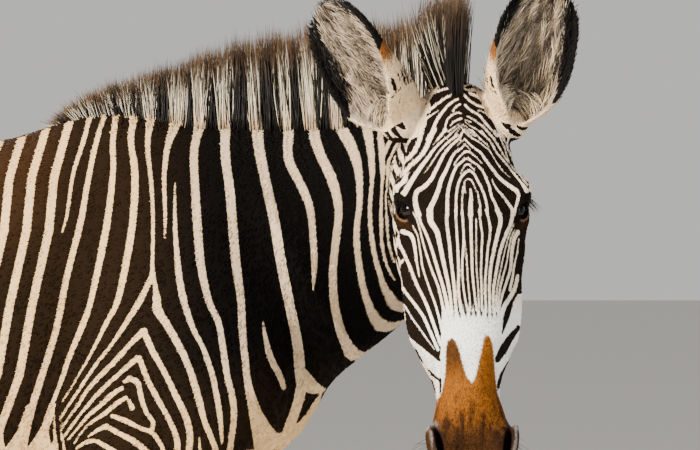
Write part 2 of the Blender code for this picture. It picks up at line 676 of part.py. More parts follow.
def build():
    whole = make_flesh()
    grown = inflated(whole, GAP)

    cuts = [slab("cut_" + name, *cut) for name, cut in PARTING.items()]
    sockets = [inflated(make_eye(side), GAP) for side in (1, -1)]
    cutter = joined("cutter", cuts + sockets)
    cut_away(whole, cutter)
    for part in loose_parts(whole):
        corners = {i for face in part for i in whole.data.polygons[face].vertices}
        name = part_name(np.array([whole.data.vertices[i].co for i in corners]))
        if name:
            sub_object(whole, name, part)

    for side in (1, -1):
        cut_away(make_ear(side), grown)
        for leg in ("foreleg", "hindleg"):
            make_hoof(leg, side)
    mane_rows = [(*row, *MANE_SECTION) for row in MANE]
    cut_away(make_loft("mane", mane_rows, "mane"), grown)
    cut_away(make_loft("tail_dock", TAIL, "tail"), grown)
    lowered = [(x1, z1 - GAP, x2, z2 - GAP, *rest) for x1, z1, x2, z2, *rest in TUFT]
    make_loft("tail_tuft", lowered, "tail")

    for helper in (whole, grown, cutter):
        bpy.data.objects.remove(helper)


build()
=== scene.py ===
"""Dresses the standing zebra: one striped skin over the solids, short coat, mane, lids, eyes and hooves.

Everything is drawn on the straight animal, as in part.py: X forward from the withers, Y to its left, Z up,
in metres. Markings and the lie of the coat are worked out there, and pose() then bends the neck.
"""

import math

import bmesh
import bpy
import numpy as np
import openvdb as vdb
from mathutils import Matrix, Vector


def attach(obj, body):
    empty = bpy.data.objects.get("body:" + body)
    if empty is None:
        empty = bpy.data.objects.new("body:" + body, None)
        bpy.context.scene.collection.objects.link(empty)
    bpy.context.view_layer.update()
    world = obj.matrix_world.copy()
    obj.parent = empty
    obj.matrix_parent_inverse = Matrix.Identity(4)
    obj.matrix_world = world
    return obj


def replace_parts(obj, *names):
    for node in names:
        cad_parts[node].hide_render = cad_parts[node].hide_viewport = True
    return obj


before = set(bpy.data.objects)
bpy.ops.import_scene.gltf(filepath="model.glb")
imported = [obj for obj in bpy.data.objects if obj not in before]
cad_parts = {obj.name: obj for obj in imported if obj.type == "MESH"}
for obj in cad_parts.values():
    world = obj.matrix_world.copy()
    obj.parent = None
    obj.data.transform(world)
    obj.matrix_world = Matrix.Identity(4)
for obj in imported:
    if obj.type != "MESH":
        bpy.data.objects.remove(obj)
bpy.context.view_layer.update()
rng = np.random.default_rng(7)

# ------------------------------------------------------------------------------ sizes, as in part.py
BAND = 0.065            # distances are kept as far as this from a surface
RING = 56               # points round a section
STEPS = 6               # sections from one station to the next
MIDDLE = (-0.250, -0.174)       # X, Y of the posed animal's origin, under its middle

POLL = (0.900, 1.557)   # X, Z of the top of the head, where the head's frame starts
HEAD_PITCH = math.radians(70)
HEAD_YAW = math.radians(-84.5)
BEND_POWER = 1.95       # above 1 the neck bends most near the head
BEND_HEIGHT = 1.35      # height of the bent axis
BEND_STEPS = 300
BEND_LEAST = 0.1        # no height bends over less than this
BASE_SLICE = ((0.030, 1.520), (0.400, 1.000))   # X, Z of two points of the plane where the bend starts
HEAD_SLICE = ((0.785, 1.560), (0.570, 1.130))   # and of the one where it ends
HEAD_TOP = HEAD_SLICE[0][1]
HEAD_LEAST = 0.86       # no part of the head is under this height
HOOF_TOP = 0.078

TRUNK = (    # X, Z of the upper line, of the lower, half width, place of the widest, powers above and below
    (-1.203, 1.235, -1.203, 1.15, 0.02, 0.5, 2, 2),
    (-1.188, 1.29, -1.188, 1.085, 0.07, 0.5, 2, 2),
    (-1.145, 1.352, -1.145, 1.02, 0.125, 0.5, 2, 2),
    (-1.065, 1.412, -1.065, 0.965, 0.182, 0.5, 2, 2),
    (-0.95, 1.452, -0.95, 0.918, 0.23, 0.52, 2, 2.1),
    (-0.8, 1.468, -0.8, 0.878, 0.258, 0.5, 2, 2.1),
    (-0.62, 1.456, -0.62, 0.838, 0.272, 0.48, 2, 2.2),
    (-0.45, 1.443, -0.45, 0.81, 0.286, 0.46, 2, 2.2),
    (-0.28, 1.447, -0.28, 0.802, 0.286, 0.45, 1.95, 2.2),
    (-0.14, 1.468, -0.14, 0.81, 0.268, 0.44, 1.85, 2.15),
    (-0.03, 1.49, -0.03, 0.824, 0.238, 0.43, 1.65, 2.1),
    (0.08, 1.475, 0.08, 0.842, 0.215, 0.42, 1.65, 2.1),
    (0.18, 1.41, 0.18, 0.87, 0.195, 0.42, 1.8, 2.1),
    (0.27, 1.3, 0.27, 0.912, 0.16, 0.42, 2, 2.1),
    (0.335, 1.18, 0.335, 0.968, 0.105, 0.45, 2, 2),
    (0.36, 1.1, 0.36, 1.02, 0.05, 0.5, 2, 2),
)

NECK = (    # the same
    (-0.1, 1.448, 0.08, 1, 0.12, 0.42, 1.8, 2),
    (0, 1.494, 0.27, 0.995, 0.16, 0.42, 1.7, 2),
    (0.14, 1.489, 0.385, 1.056, 0.15, 0.44, 1.7, 2),
    (0.29, 1.485, 0.47, 1.122, 0.133, 0.45, 1.7, 2),
    (0.44, 1.49, 0.54, 1.186, 0.118, 0.46, 1.75, 2),
    (0.58, 1.504, 0.615, 1.238, 0.105, 0.48, 1.8, 2),
    (0.71, 1.521, 0.69, 1.276, 0.096, 0.5, 1.85, 2),
    (0.82, 1.532, 0.75, 1.3, 0.087, 0.52, 1.9, 2),
    (0.885, 1.522, 0.795, 1.34, 0.07, 0.55, 2, 2),
)

HEAD = (    # H, F of the face's line, H, F of the jaw's, then the same
    (-0.035, -0.075, 0, -0.14, 0.03, 0.6, 2, 2),
    (-0.01, -0.034, 0.04, -0.2, 0.058, 0.7, 2, 2),
    (0.045, -0.01, 0.09, -0.25, 0.076, 0.72, 2.1, 2),
    (0.1, 0.004, 0.135, -0.275, 0.09, 0.75, 2.3, 2),
    (0.155, 0.01, 0.18, -0.28, 0.101, 0.77, 2.4, 2),
    (0.215, 0.007, 0.235, -0.268, 0.103, 0.74, 2.4, 2),
    (0.28, 0.002, 0.295, -0.24, 0.098, 0.62, 2.15, 2),
    (0.34, 0, 0.35, -0.208, 0.094, 0.54, 2, 2),
    (0.392, 0, 0.4, -0.18, 0.086, 0.5, 2, 2),
    (0.432, 0, 0.438, -0.162, 0.074, 0.5, 2, 2),
    (0.47, -0.002, 0.474, -0.15, 0.058, 0.5, 2.1, 2),
    (0.51, -0.005, 0.51, -0.138, 0.053, 0.52, 2.1, 2),
    (0.55, -0.01, 0.546, -0.134, 0.061, 0.56, 2.2, 2.1),
    (0.592, -0.022, 0.584, -0.128, 0.064, 0.6, 2.2, 2.2),
    (0.626, -0.045, 0.612, -0.114, 0.054, 0.6, 2.1, 2.1),
    (0.646, -0.07, 0.632, -0.095, 0.024, 0.6, 2, 2),
)

HEAD_SWELLS = (     # H, F, Y, radii along them, blend
    (0.172, -0.032, 0.091, 0.042, 0.026, 0.022, 0.020),     # brow
    (0.210, -0.056, 0.082, 0.034, 0.029, 0.028, 0.012),     # lids and the ring of the orbit
    (0.236, -0.082, 0.090, 0.052, 0.022, 0.013, 0.015),     # cheekbone under the eye
    (0.330, -0.090, 0.080, 0.080, 0.012, 0.014, 0.015),     # facial crest
    (0.190, -0.190, 0.064, 0.100, 0.085, 0.030, 0.030),     # jaw muscle
    (0.588, -0.046, 0.046, 0.036, 0.028, 0.024, 0.018),     # wing of the nostril
    (0.562, -0.134, 0.000, 0.034, 0.022, 0.034, 0.020),     # chin
)
HEAD_HOLLOWS = (
    (0.120, -0.030, 0.098, 0.026, 0.016, 0.014, 0.020),     # hollow over the brow
    (0.596, -0.042, 0.070, 0.022, 0.011, 0.018, 0.006),     # nostril
    (0.568, -0.104, 0.068, 0.050, 0.005, 0.030, 0.008),     # line of the mouth
)

FORELEG = (    # X front, X rear, Z, half width, Y of the middle
    (0.2, 0.02, 1.33, 0.05, 0.105),
    (0.25, -0.06, 1.25, 0.08, 0.118),
    (0.295, -0.1, 1.14, 0.098, 0.132),
    (0.31, -0.115, 1.05, 0.104, 0.138),
    (0.265, -0.112, 0.96, 0.096, 0.14),
    (0.205, -0.088, 0.89, 0.08, 0.138),
    (0.16, -0.044, 0.81, 0.065, 0.134),
    (0.134, -0.012, 0.71, 0.053, 0.13),
    (0.117, 0.013, 0.61, 0.044, 0.127),
    (0.114, 0.017, 0.545, 0.044, 0.126),
    (0.118, 0.011, 0.49, 0.047, 0.125),
    (0.105, 0.028, 0.43, 0.038, 0.124),
    (0.094, 0.034, 0.36, 0.029, 0.123),
    (0.092, 0.032, 0.285, 0.028, 0.122),
    (0.096, 0.023, 0.238, 0.033, 0.122),
    (0.103, 0.016, 0.205, 0.038, 0.122),
    (0.114, 0.034, 0.16, 0.032, 0.122),
    (0.129, 0.053, 0.118, 0.034, 0.122),
    (0.141, 0.05, 0.088, 0.043, 0.122),
    (0.152, 0.05, 0.06, 0.045, 0.122),
)

HINDLEG = (
    (-0.83, -1.07, 1.33, 0.06, 0.11),
    (-0.79, -1.14, 1.24, 0.092, 0.122),
    (-0.75, -1.172, 1.13, 0.108, 0.132),
    (-0.715, -1.165, 1.02, 0.11, 0.136),
    (-0.705, -1.132, 0.93, 0.1, 0.137),
    (-0.74, -1.094, 0.845, 0.083, 0.135),
    (-0.805, -1.079, 0.765, 0.067, 0.131),
    (-0.88, -1.088, 0.69, 0.053, 0.128),
    (-0.943, -1.118, 0.625, 0.045, 0.126),
    (-0.983, -1.14, 0.58, 0.045, 0.125),
    (-1.003, -1.123, 0.52, 0.043, 0.124),
    (-1.016, -1.103, 0.46, 0.036, 0.123),
    (-1.023, -1.092, 0.38, 0.029, 0.122),
    (-1.024, -1.09, 0.29, 0.028, 0.122),
    (-1.02, -1.098, 0.24, 0.033, 0.122),
    (-1.013, -1.104, 0.205, 0.038, 0.122),
    (-1.002, -1.082, 0.16, 0.032, 0.122),
    (-0.986, -1.062, 0.118, 0.033, 0.122),
    (-0.976, -1.066, 0.088, 0.042, 0.122),
    (-0.966, -1.064, 0.06, 0.044, 0.122),
)

LEGS = {"foreleg": FORELEG, "hindleg": HINDLEG}
LEG_SECTION = (0.50, 2.1, 2.0)
HIP = {"foreleg": 0.95, "hindleg": 1.00}    # height under which a leg slants with its stride
STRIDE = {      # how far each hoof stands forward, by leg and side
    ("foreleg", 1): -0.035,
    ("foreleg", -1): 0.030,
    ("hindleg", 1): 0.055,
    ("hindleg", -1): -0.045,
}

TAIL = (    # like TRUNK: rear line, then front line
    (-1.04, 1.425, -1.06, 1.345, 0.036, 0.5, 2, 2),
    (-1.12, 1.4, -1.11, 1.325, 0.035, 0.5, 2, 2),
    (-1.185, 1.355, -1.15, 1.298, 0.031, 0.5, 2, 2),
    (-1.226, 1.292, -1.182, 1.262, 0.027, 0.5, 2, 2),
    (-1.25, 1.215, -1.207, 1.204, 0.024, 0.5, 2, 2),
    (-1.262, 1.13, -1.222, 1.126, 0.021, 0.5, 2, 2),
    (-1.266, 1.045, -1.23, 1.044, 0.019, 0.5, 2, 2),
    (-1.266, 0.96, -1.234, 0.96, 0.017, 0.5, 2, 2),
)

TUFT = (
    (-1.266, 0.96, -1.234, 0.96, 0.017, 0.5, 2, 2),
    (-1.272, 0.9, -1.229, 0.9, 0.022, 0.5, 2, 2),
    (-1.283, 0.8, -1.222, 0.8, 0.034, 0.5, 2, 2),
    (-1.287, 0.7, -1.22, 0.7, 0.038, 0.5, 2, 2),
    (-1.282, 0.6, -1.224, 0.6, 0.033, 0.5, 2, 2),
    (-1.27, 0.52, -1.236, 0.52, 0.02, 0.5, 2, 2),
    (-1.258, 0.465, -1.25, 0.465, 0.005, 0.5, 2, 2),
)

MANE = (    # X, Z of the tips, X, Z of the roots under the skin, half width
    (-0.055, 1.492, -0.05, 1.465, 0.006),
    (-0.01, 1.533, -0.01, 1.465, 0.012),
    (0.055, 1.562, 0.045, 1.46, 0.016),
    (0.13, 1.592, 0.125, 1.455, 0.018),
    (0.215, 1.622, 0.22, 1.45, 0.02),
    (0.32, 1.642, 0.335, 1.45, 0.02),
    (0.43, 1.65, 0.45, 1.455, 0.02),
    (0.54, 1.66, 0.565, 1.465, 0.02),
    (0.65, 1.68, 0.68, 1.48, 0.02),
    (0.76, 1.698, 0.78, 1.49, 0.02),
    (0.86, 1.702, 0.855, 1.495, 0.021),
    (0.93, 1.694, 0.895, 1.5, 0.02),
    (0.955, 1.65, 0.908, 1.495, 0.012),
)

EAR_TURN = {    # side: which way the ear points, and which way it opens, in the head's straight frame
    1: ((0.25, 0.27, 0.94), (0.97, 0.24, 0.0)),
    -1: ((0.00, -0.58, 0.81), (0.62, -0.78, 0.0)),
}
EAR_SHAPE = (    # shares of length, width and depth, and degrees from the back to a rim
    (0, 0.36, 0.62, 165),
    (0.08, 0.52, 0.82, 156),
    (0.18, 0.73, 1, 138),
    (0.3, 0.9, 1, 118),
    (0.45, 0.99, 0.88, 104),
    (0.6, 1, 0.7, 95),
    (0.72, 0.97, 0.53, 90),
    (0.83, 0.85, 0.36, 86),
    (0.92, 0.64, 0.2, 83),
    (0.97, 0.42, 0.1, 82),
    (1, 0.14, 0.03, 82),
)
EAR_HEAD = (0.045, -0.066, 0.078)       # H, F, Y of the left ear's root
EAR_LENGTH = 0.246
EAR_WIDTH = 0.070       # half width where the ear is widest
EAR_DEPTH = 0.060
EAR_CLOSER = 1.25       # above 1 the rows stand closer near the tip
EAR_LEAST = (0.2, 0.1)  # least share of width and depth that the wall leaves
EAR_LEVEL = 1.47        # no part of an ear is under this height
EAR_START = 0.05        # share of an ear's length from which its own markings and coat start

# ------------------------------------------------------------------------------ sizes of the dress
COAT = 0.003            # depth of the coat over the skin
BODY_VOXEL, HEAD_VOXEL = 0.0067, 0.0024
BODY_BOX = ((-1.32, -0.36, 0.03), (0.86, 0.36, 1.60))
HEAD_BOX = ((0.48, -0.30, 0.88), (1.24, 0.26, 1.75))
BLEND = {       # how softly each form melts into those before it
    "trunk": 0.02, "foreleg": 0.05, "hindleg": 0.06, "neck": 0.06, "head": 0.035, "tail": 0.02,
    "ear": 0.012, "ear_root": 0.014, "lids": 0.007, "fold": 0.004, "socket": 0.0008, "opening": 0.0022,
}
EAR_ROWS, EAR_COLUMNS = 40, 33
EAR_IN, EAR_WALL = 0.0012, 0.0062       # the skin ear's two sides, inside the solid ear's outer side
EAR_ROOT = ((0, -0.020, 0.004), (0.026, 0.026, 0.024))  # a ball that fills the cup's foot: middle, radii
LEGS_UNDER = 0.95       # the seam's plane is kept off the forelegs under this height
SEAM_BACK, SEAM_GAP = 0.040, 0.003      # the seam between the coarse body and the fine head

EYEBALL = 0.0215
EYE_MIDDLE = np.array((0.200, -0.045, 0.079))           # H, F, Y of the left eyeball's middle
EYE_OUT = np.array((0.00, 0.66, 0.75))      # which way the left eye looks, along H, F, Y
EYE_ALONG = np.array((0.88, 0.22, -0.42))   # and the way along its lids
EYE_OPENING = (0.0195, 0.0150)              # half length and half height of the gap between the lids
EYE_GAP = 0.0003        # between eyeball and lids
OPENING_OUT, OPENING_DEPTH = 0.019, 0.016   # the hollow that opens the lids: its place and radius outward
LID = 0.0028
FOLD = np.array((-0.006, 0.003, 0.001))     # how far the fold over the lids is off the eye's middle
FOLD_MORE = (0.0035, 0.001, 0)              # how much larger it is than the lids
NOSTRIL = (     # H, F, Y, radii along them (below 0: a swelling), turn, blend
    (0.592, -0.034, 0.0640, (-0.032, -0.024, -0.0080), 0.16, 0.008),
    (0.592, -0.028, 0.0550, (0.0235, 0.024, 0.0066), 0.16, 0.004),
    (0.566, -0.016, 0.0555, (0.0100, 0.012, 0.0038), 0.16, 0.004),
)
FINE_FROM = (-0.25, 0.88)       # X and Z past which the stripes are narrow and the skin's faces halved
FINE_GAP = 0.045        # how far behind the head's slice the halved faces end
FINE_EDGE = 0.0045      # how near to a stripe's edge they are


# ------------------------------------------------------------------------------ lofts and fields
def unit(v):
    v = np.asarray(v, float)
    return v / np.maximum(np.linalg.norm(v, axis=-1, keepdims=True), 1e-12)


def curve(rows, steps=STEPS):
    """Catmull-Rom curves through every column of the rows."""
    knots = np.array(rows, float)
    knots = np.vstack([2 * knots[0] - knots[1], knots, 2 * knots[-1] - knots[-2]])
    t = np.arange(steps)[:, None] / steps
    out = []
    for a, b, c, d in zip(knots, knots[1:], knots[2:], knots[3:]):
        bend = (2 * a - 5 * b + 4 * c - d) * t**2 + (3 * b - a - 3 * c + d) * t**3
        out.append(b + 0.5 * ((c - a) * t + bend))
    return np.vstack(out + [knots[-2:-1]])


def sections(rows):
    """Closed sections between two silhouette lines, as an array of points."""
    angle = 2 * math.pi * np.arange(RING) / RING
    across, up = np.cos(angle), np.sin(angle)
    out = []
    for row in curve(rows):
        top, low = row[:2], row[2:4]
        half, widest, above, below = row[4:8]
        offset = row[8] if len(row) > 8 else 0.0
        power = 2 / np.where(up >= 0, above, below)
        rise = np.abs(up) ** power
        share = np.where(up >= 0, widest + (1 - widest) * rise, widest * (1 - rise))
        x, z = (low + share[:, None] * (top - low)).T
        y = offset + half * np.sign(across) * np.abs(across) ** power
        out.append(np.stack([x, y, z], -1))
    return np.array(out)


def loft(points):
    """Vertices and triangles of a closed tube through the sections."""
    rows, columns, _ = points.shape
    triangles = []
    for i in range(rows - 1):
        for j in range(columns):
            a, b = i * columns + j, i * columns + (j + 1) % columns
            triangles += [(a, b, b + columns), (a, b + columns, a + columns)]
    first, last = rows * columns, rows * columns + 1
    for j in range(columns):
        k = (j + 1) % columns
        triangles += [(first, k, j), (last, last - 1 - columns + j, last - 1 - columns + k)]
    ends = [points[0].mean(0), points[-1].mean(0)]
    return np.vstack([points.reshape(-1, 3), ends]), np.array(triangles)


def head_point(h, f, y=0.0):
    """A point of the head's frame, in the straight animal: H down the face, F out of it, Y to the left."""
    c, s = math.cos(HEAD_PITCH), math.sin(HEAD_PITCH)
    return np.array((POLL[0] + h * c + f * s, y, POLL[1] - h * s + f * c))


HEAD_START = head_point(0, 0)
HEAD_AXES = np.array([head_point(1, 0) - HEAD_START, head_point(0, 1) - HEAD_START, (0, 1, 0)])


def in_head(points):
    """H, F, Y of points of the straight animal."""
    return (points - HEAD_START) @ HEAD_AXES.T


def head_rows():
    """The head's stations as a form's, in the straight animal."""
    rows = []
    for h1, f1, h2, f2, *rest in HEAD:
        top, low = head_point(h1, f1), head_point(h2, f2)
        rows.append((top[0], top[2], low[0], low[2], *rest))
    return rows


def leg_rows(leg, side):
    """The leg's stations as a form's, slanted by its stride."""
    rows = []
    for front, rear, z, half, offset in LEGS[leg]:
        shift = STRIDE[leg, side] * max(0.0, 1 - z / HIP[leg])
        rows.append((front + shift, z, rear + shift, z, half, *LEG_SECTION, offset * side))
    return rows


def smooth_min(a, b, blend):
    """The smaller of two distances, rounded where they are about equal."""
    h = np.clip(0.5 + 0.5 * (b - a) / blend, 0, 1).astype(np.float32)
    return b + (a - b) * h - blend * h * (1 - h)


class Field:
    """Distances to a surface on a regular grid; forms are melted in or hollowed out."""

    def __init__(self, low, high, voxel):
        self.voxel = voxel
        self.low = np.floor(np.array(low) / voxel).astype(int)
        self.size = np.ceil(np.array(high) / voxel).astype(int) - self.low
        self.distance = np.full(self.size, BAND, np.float32)

    def window(self, low, high):
        """The part of the grid between two whole-number corners."""
        low = np.clip(np.array(low) - self.low, 0, self.size)
        high = np.clip(np.array(high) - self.low, 0, self.size)
        return low, high, tuple(slice(a, b) for a, b in zip(low, high))

    def add(self, shape, blend):
        """Melts a closed mesh in."""
        points, triangles = shape
        grid = vdb.FloatGrid.createLevelSetFromPolygons(
            points.astype(np.float32),
            triangles=triangles.astype(np.uint32),
            transform=vdb.createLinearTransform(voxelSize=self.voxel),
            halfWidth=BAND / self.voxel,
        )
        first, last = grid.evalActiveVoxelBoundingBox()
        low, high, part = self.window(first, np.array(last) + 1)
        near = np.zeros(high - low, np.float32)
        grid.copyToArray(near, ijk=tuple(int(i) for i in low + self.low))
        self.distance[part] = smooth_min(self.distance[part], near, BLEND[blend])

    def form(self, rows, blend):
        """Melts in the form whose stations are given."""
        self.add(loft(sections(rows)), blend)

    def ball(self, centre, radii, axes, blend, hollow=False):
        """Melts in, or hollows out, an ellipsoid with its radii along the rows of axes."""
        reach = max(radii) + 2 * blend + 2 * self.voxel
        low, high, part = self.window(
            np.floor((centre - reach) / self.voxel).astype(int),
            np.ceil((centre + reach) / self.voxel).astype(int),
        )
        index = np.moveaxis(np.indices(high - low), 0, -1) + low + self.low
        local = (index * self.voxel - centre) @ np.array(axes).T / radii
        size = np.linalg.norm(local, axis=-1)
        slope = np.maximum(np.linalg.norm(local / radii, axis=-1), 1e-9)
        near = size * (size - 1) / slope
        old = self.distance[part]
        new = -smooth_min(-old, near, blend) if hollow else smooth_min(old, near, blend)
        self.distance[part] = new

    def surface(self):
        """Points and quads of the surface, facing out."""
        grid = vdb.FloatGrid(BAND)
        grid.copyFromArray(self.distance, ijk=tuple(int(i) for i in self.low))
        grid.transform = vdb.createLinearTransform(voxelSize=self.voxel)
        points, quads = grid.convertToQuads(0.0)
        return points.astype(float), quads[:, ::-1].astype(int)


# ------------------------------------------------------------------------------ pose
def slice_x(ends, z):
    """X at height z on the line through two points."""
    (x1, z1), (x2, z2) = ends
    return x1 + (z - z1) * (x2 - x1) / (z2 - z1)


def past_seam(p):
    """How far each point of the straight animal lies in front of the head's slice."""
    ahead = p[:, 0] - slice_x(HEAD_SLICE, np.minimum(p[:, 2], HEAD_TOP))
    return np.where(p[:, 2] > HEAD_LEAST, ahead, -1.0)


def pose(points, mane=False):
    """Bends the neck, turns the head with it, and moves the whole to its origin.

    Over the head's slice the ears keep their shape, but the mane follows the slices up to its tips.
    """
    points = np.atleast_2d(np.array(points, float))
    height = points[:, 2] if mane else np.minimum(points[:, 2], HEAD_TOP)
    start, end = slice_x(BASE_SLICE, height), slice_x(HEAD_SLICE, height)
    share = np.clip((points[:, 0] - start) / np.maximum(end - start, BEND_LEAST), 0, 1)
    axis_start, axis_end = slice_x(BASE_SLICE, BEND_HEIGHT), slice_x(HEAD_SLICE, BEND_HEIGHT)
    steps = np.linspace(0, 1, BEND_STEPS + 1)
    yaw = HEAD_YAW * steps**BEND_POWER
    step = (axis_end - axis_start) / BEND_STEPS
    middle = (yaw[1:] + yaw[:-1]) / 2
    axis_x = axis_start + np.concatenate([[0], np.cumsum(np.cos(middle) * step)])
    axis_y = np.concatenate([[0], np.cumsum(np.sin(middle) * step)])
    turn = np.interp(share, steps, yaw)
    ahead = points[:, 0] - (axis_start + (axis_end - axis_start) * share)
    out = points.copy()
    out[:, 0] = np.interp(share, steps, axis_x) + ahead * np.cos(turn) - points[:, 1] * np.sin(turn)
    out[:, 1] = np.interp(share, steps, axis_y) + ahead * np.sin(turn) + points[:, 1] * np.cos(turn)
    out[share <= 0] = points[share <= 0]
    return out - (*MIDDLE, 0)


# ------------------------------------------------------------------------------ ears
def ear_frame(side):
    """Root, and the ear's own axes as rows: across, back, along."""
    axis, opening = (unit(v) for v in EAR_TURN[side])
    back = -unit(opening - opening @ axis * axis)
    h, f, y = EAR_HEAD
    return head_point(h, f, y * side), np.array([np.cross(back, axis), back, axis])


def ear_sections(wall):
    """Rows of points from rim to rim, from root to tip, of the ear's outer side drawn in by wall."""
    shape = curve(EAR_SHAPE)
    rows = []
    for share in 1 - (1 - np.linspace(0, 1, EAR_ROWS)) ** EAR_CLOSER:
        half, depth, reach = (np.interp(share, shape[:, 0], shape[:, i]) for i in (1, 2, 3))
        half, depth = half * EAR_WIDTH, depth * EAR_DEPTH
        half, depth = max(half - wall, half * EAR_LEAST[0]), max(depth - wall, depth * EAR_LEAST[1])
        angle = np.radians(reach) * np.linspace(-1, 1, EAR_COLUMNS)
        height = np.full(EAR_COLUMNS, share * (EAR_LENGTH - wall * 0.5))
        back = depth * (np.cos(angle) - np.sin(np.radians(reach)) / np.radians(reach))
        rows.append(np.stack([half * np.sin(angle), back, height], -1))
    return np.array(rows)


def ear_shell(side):
    """Vertices and triangles of the ear as a thin cup."""
    outer, inner = ear_sections(EAR_IN), ear_sections(EAR_WALL)
    rows, columns, _ = outer.shape
    count = rows * columns
    quads = []
    for i in range(rows - 1):
        for j in range(columns - 1):
            a, b = i * columns + j, (i + 1) * columns + j
            quads += [(a, a + 1, b + 1, b), (count + a, count + b, count + b + 1, count + a + 1)]
        for a, b in ((i * columns, (i + 1) * columns), ((i + 2) * columns - 1, (i + 1) * columns - 1)):
            quads.append((a, b, b + count, a + count))
    for j in range(columns - 1):
        for a in (j, count - 1 - j):
            b = a + 1 if a == j else a - 1
            quads.append((a, a + count, b + count, b))
    root, axes = ear_frame(side)
    points = np.vstack([outer.reshape(-1, 3), inner.reshape(-1, 3)]) @ axes + root
    quads = np.array(quads)
    return points, np.vstack([quads[:, [0, 1, 2]], quads[:, [0, 2, 3]]])


# ------------------------------------------------------------------------------ skin
def body_surface():
    field = Field(*BODY_BOX, BODY_VOXEL)
    field.form(TRUNK, "trunk")
    for side in (1, -1):
        for leg in LEGS:
            field.form(leg_rows(leg, side), leg)
    field.form(NECK, "neck")
    field.form(head_rows(), "head")
    field.form(TAIL, "tail")
    field.distance += COAT
    return field.surface()


def head_surface():
    field = Field(*HEAD_BOX, HEAD_VOXEL)
    field.form(NECK, "neck")
    field.form(head_rows(), "head")
    for forms, hollow in ((HEAD_SWELLS, False), (HEAD_HOLLOWS, True)):
        for h, f, y, *radii, blend in forms:
            for side in {1, -1} if y else {1}:
                field.ball(head_point(h, f, y * side), radii, HEAD_AXES, blend, hollow)
    field.distance += COAT
    for side in (1, -1):
        field.add(ear_shell(side), "ear")
        root, axes = ear_frame(side)
        middle, radii = EAR_ROOT
        field.ball(root + np.array(middle) @ axes, radii, axes, BLEND["ear_root"])
        finish_eye(field, side)
        finish_nostril(field, side)
    return field.surface()


def eye_frame(side):
    """Middle of an eyeball and its axes: along the lids, across them and out."""
    h, f, y = EYE_MIDDLE
    out = unit(EYE_OUT * (1, 1, side) @ HEAD_AXES)
    along = unit(EYE_ALONG * (1, 1, side) @ HEAD_AXES)
    along = unit(along - along @ out * out)
    return head_point(h, f, y * side), np.array([along, np.cross(out, along), out])


def finish_eye(field, side):
    """Lids round an eyeball, with an almond opening and a fold over it."""
    centre, axes = eye_frame(side)
    lid, socket = EYEBALL + LID, EYEBALL + EYE_GAP
    h, f, y = EYE_MIDDLE + FOLD
    opening = centre + axes[2] * OPENING_OUT
    field.ball(centre, (lid, lid, lid), axes, BLEND["lids"])
    field.ball(head_point(h, f, y * side), [lid + more for more in FOLD_MORE], axes, BLEND["fold"])
    field.ball(centre, (socket, socket, socket), axes, BLEND["socket"], True)
    field.ball(opening, (*EYE_OPENING, OPENING_DEPTH), axes, BLEND["opening"], True)


def eye_rim(p):
    """Each point's distance from the nearer eye's opening, and how far over the opening's line it lies."""
    rim, over = np.full(len(p), 1.0), np.zeros(len(p))
    long, high = EYE_OPENING
    for side in (1, -1):
        centre, axes = eye_frame(side)
        at = (p - centre) @ axes.T
        near = (np.linalg.norm(at, axis=1) < 0.050) & (at[:, 2] > 0.0)
        away = np.sqrt((at[:, 0] / long) ** 2 + (at[:, 1] / high) ** 2)
        away = (away - 1) * (long + high) / 2
        better = near & (away < rim)
        rim, over = np.where(better, away, rim), np.where(better, -at[:, 1] * side, over)
    return rim, over


def finish_nostril(field, side):
    for h, f, y, radii, turn, blend in NOSTRIL:
        c, s = math.cos(turn), math.sin(turn) * side
        axes = np.array([(c, 0, -s), (0, 1, 0), (s, 0, c)]) @ HEAD_AXES
        field.ball(head_point(h, f, y * side), [abs(r) for r in radii], axes, blend, radii[0] > 0)


def cut_half(points, faces, keep_front):
    """The part of a mesh in front of or behind the seam, as a bmesh."""
    mesh = bpy.data.meshes.new("half")
    fill_mesh(mesh, points, faces)
    shape = bmesh.new()
    shape.from_mesh(mesh)
    bpy.data.meshes.remove(mesh)
    (x1, z1), (x2, z2) = HEAD_SLICE
    normal = unit((z1 - z2, 0, x2 - x1))
    place = np.array((x1 - SEAM_BACK, 0, z1))
    if keep_front:
        place = place + normal * SEAM_GAP
    near = [face for face in shape.faces if face.calc_center_median().z > LEGS_UNDER]
    around = {vert for face in near for vert in face.verts}
    around |= {edge for face in near for edge in face.edges}
    bmesh.ops.bisect_plane(
        shape,
        geom=near + list(around),
        plane_co=place,
        plane_no=normal,
        clear_inner=keep_front,
        clear_outer=not keep_front,
    )
    return shape


def refine(shape):
    """Halves the faces along the stripes' edges on the shoulder and neck, where the stripes are narrow."""
    shape.normal_update()
    verts = list(shape.verts)
    for k, vert in enumerate(verts):
        vert.index = k
    mark = markings(np.array([v.co for v in verts]), np.array([v.normal for v in verts]))[0]
    edges = set()
    for face in shape.faces:
        x, _, z = face.calc_center_median()
        fine = x > FINE_FROM[0] and z > FINE_FROM[1] and x < slice_x(HEAD_SLICE, min(z, HEAD_TOP)) - FINE_GAP
        if fine and min(abs(mark[v.index]) for v in face.verts) < FINE_EDGE:
            edges.update(face.edges)
    bmesh.ops.subdivide_edges(shape, edges=list(edges), cuts=1, use_grid_fill=True)


def skin_mesh():
    """One mesh of the straight animal: the coarse body and the fine head, joined at the seam."""
    rear = cut_half(*body_surface(), False)
    front = cut_half(*head_surface(), True)
    mesh = bpy.data.meshes.new("skin")
    front.to_mesh(mesh)
    rear.from_mesh(mesh)
    front.free()
    bmesh.ops.bridge_loops(rear, edges=[edge for edge in rear.edges if edge.is_boundary])
    refine(rear)
    bmesh.ops.recalc_face_normals(rear, faces=rear.faces[:])
    for face in rear.faces:
        face.smooth = True
    rear.to_mesh(mesh)
    rear.free()
    mesh.update()
    return mesh


